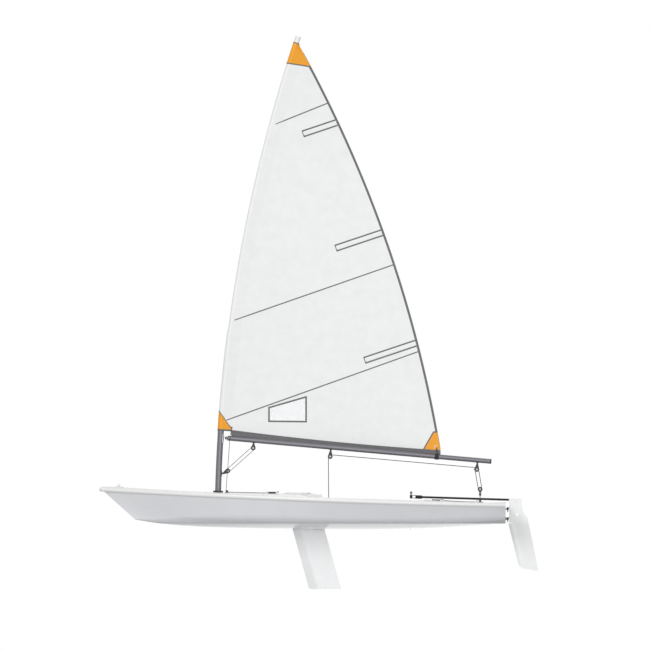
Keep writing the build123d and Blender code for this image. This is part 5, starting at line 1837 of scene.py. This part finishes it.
@dataclass
class Studio:
    """Floor, light and camera."""

    floor_side: float = 200.0
    floor_colour: str = "F4F5F6"
    floor_roughness: float = 0.9
    distance: float = 14.0
    world_strength: float = 0.42
    lamps: tuple[tuple[str, tuple, tuple, float, float], ...] = (
        ("key", (4.5, 12.0, 7.0), (0.0, 0.0, 1.6), 6.0, 680.0),
        ("fill", (-3.0, 13.0, 0.2), (0.0, 0.0, 0.6), 7.0, 420.0),
        ("back", (-1.0, -7.0, 6.0), (0.0, 0.0, 2.0), 5.0, 110.0),
    )

    def build(self) -> None:
        """Set up the stage."""
        floor = self.build_floor()
        self.build_light()
        self.spare_floor(floor)
        self.build_camera()
        bpy.context.scene.view_settings.view_transform = "Standard"

    def build_floor(self) -> Piece:
        """Lay the pale floor at the water's level; the foils below it still get the lamps' light.

        Returns:
            The floor.
        """
        bpy.ops.object.select_all(action="DESELECT")
        bpy.ops.mesh.primitive_plane_add(size=self.floor_side)
        floor = bpy.context.object
        floor.name = "floor"
        floor.visible_shadow = False
        floor.visible_diffuse = False
        material = bpy.data.materials.new("pale_floor")
        material.use_nodes = True
        shader = material.node_tree.nodes["Principled BSDF"]
        shader.inputs["Base Color"].default_value = linear(self.floor_colour)
        shader.inputs["Roughness"].default_value = self.floor_roughness
        floor.data.materials.append(material)
        return floor

    def build_light(self) -> None:
        """Soft lamps from three sides and a pale world that shows as white."""
        for name, place, target, size, power in self.lamps:
            bpy.ops.object.light_add(type="AREA", location=place)
            lamp = bpy.context.object
            lamp.name = name
            lamp.data.size = size
            lamp.data.energy = power
            lamp.visible_camera = False
            aim = Vector(target) - Vector(place)
            lamp.rotation_euler = aim.to_track_quat("-Z", "Y").to_euler()
        world = bpy.data.worlds.new("studio")
        bpy.context.scene.world = world
        world.use_nodes = True
        tree = world.node_tree
        path = add_node(tree, "ShaderNodeLightPath", {}, {})
        seen = path.outputs["Is Camera Ray"]
        for name in ("Is Glossy Ray", "Is Transmission Ray"):
            seen = maths(tree, "MAXIMUM", seen, path.outputs[name])
        strength = add_node(
            tree, "ShaderNodeMapRange", {"To Min": self.world_strength, "To Max": 1.0}, {"Value": seen}
        )
        backdrop = tree.nodes["Background"]
        tree.links.new(strength.outputs["Result"], backdrop.inputs["Strength"])
        backdrop.inputs["Color"].default_value = (1.0, 1.0, 1.0, 1.0)

    def spare_floor(self, floor: Piece) -> None:
        """Keep the low lamp off the floor, which it would burn out where it stands close to it.

        Args:
            floor: The floor.
        """
        group = bpy.data.collections.new("low_lamp_targets")
        bpy.data.objects["fill"].light_linking.receiver_collection = group
        group.objects.link(floor)
        group.collection_objects[0].light_linking.link_state = "EXCLUDE"

    def build_camera(self) -> None:
        """Stand square off the port side, with the drawing's frame."""
        data = bpy.data.cameras.new("camera")
        camera = bpy.data.objects.new("camera", data)
        bpy.context.scene.collection.objects.link(camera)
        data.type = "ORTHO"
        data.ortho_scale = PHOTO_SIDE * METRES_PER_PIXEL
        camera.location = (PHOTO_CENTRE[0], self.distance, PHOTO_CENTRE[1])
        camera.rotation_euler = (pi / 2, 0, pi)
        bpy.context.scene.camera = camera


def main() -> None:
    """Build and dress the boat, piece by piece."""
    logging.basicConfig(level=logging.INFO, format="%(name)s %(message)s")
    swing = next(joint for joint in frame["joints"] if joint["name"] == "rig_swing")
    axis = swing["axis"]
    mast = MastCurve(foot=Vector(swing["pos_m"]), lean=atan2(-axis[0], axis[2]))
    Mouldings().build()
    sail = Sail(mast)
    sail.build()
    Rigging(tack_eye=sail.surface(*sail.tack_eye)).build()
    Webbing().build()
    Hardware(mast).build()
    Studio().build()


if __name__ == "__main__":
    main()
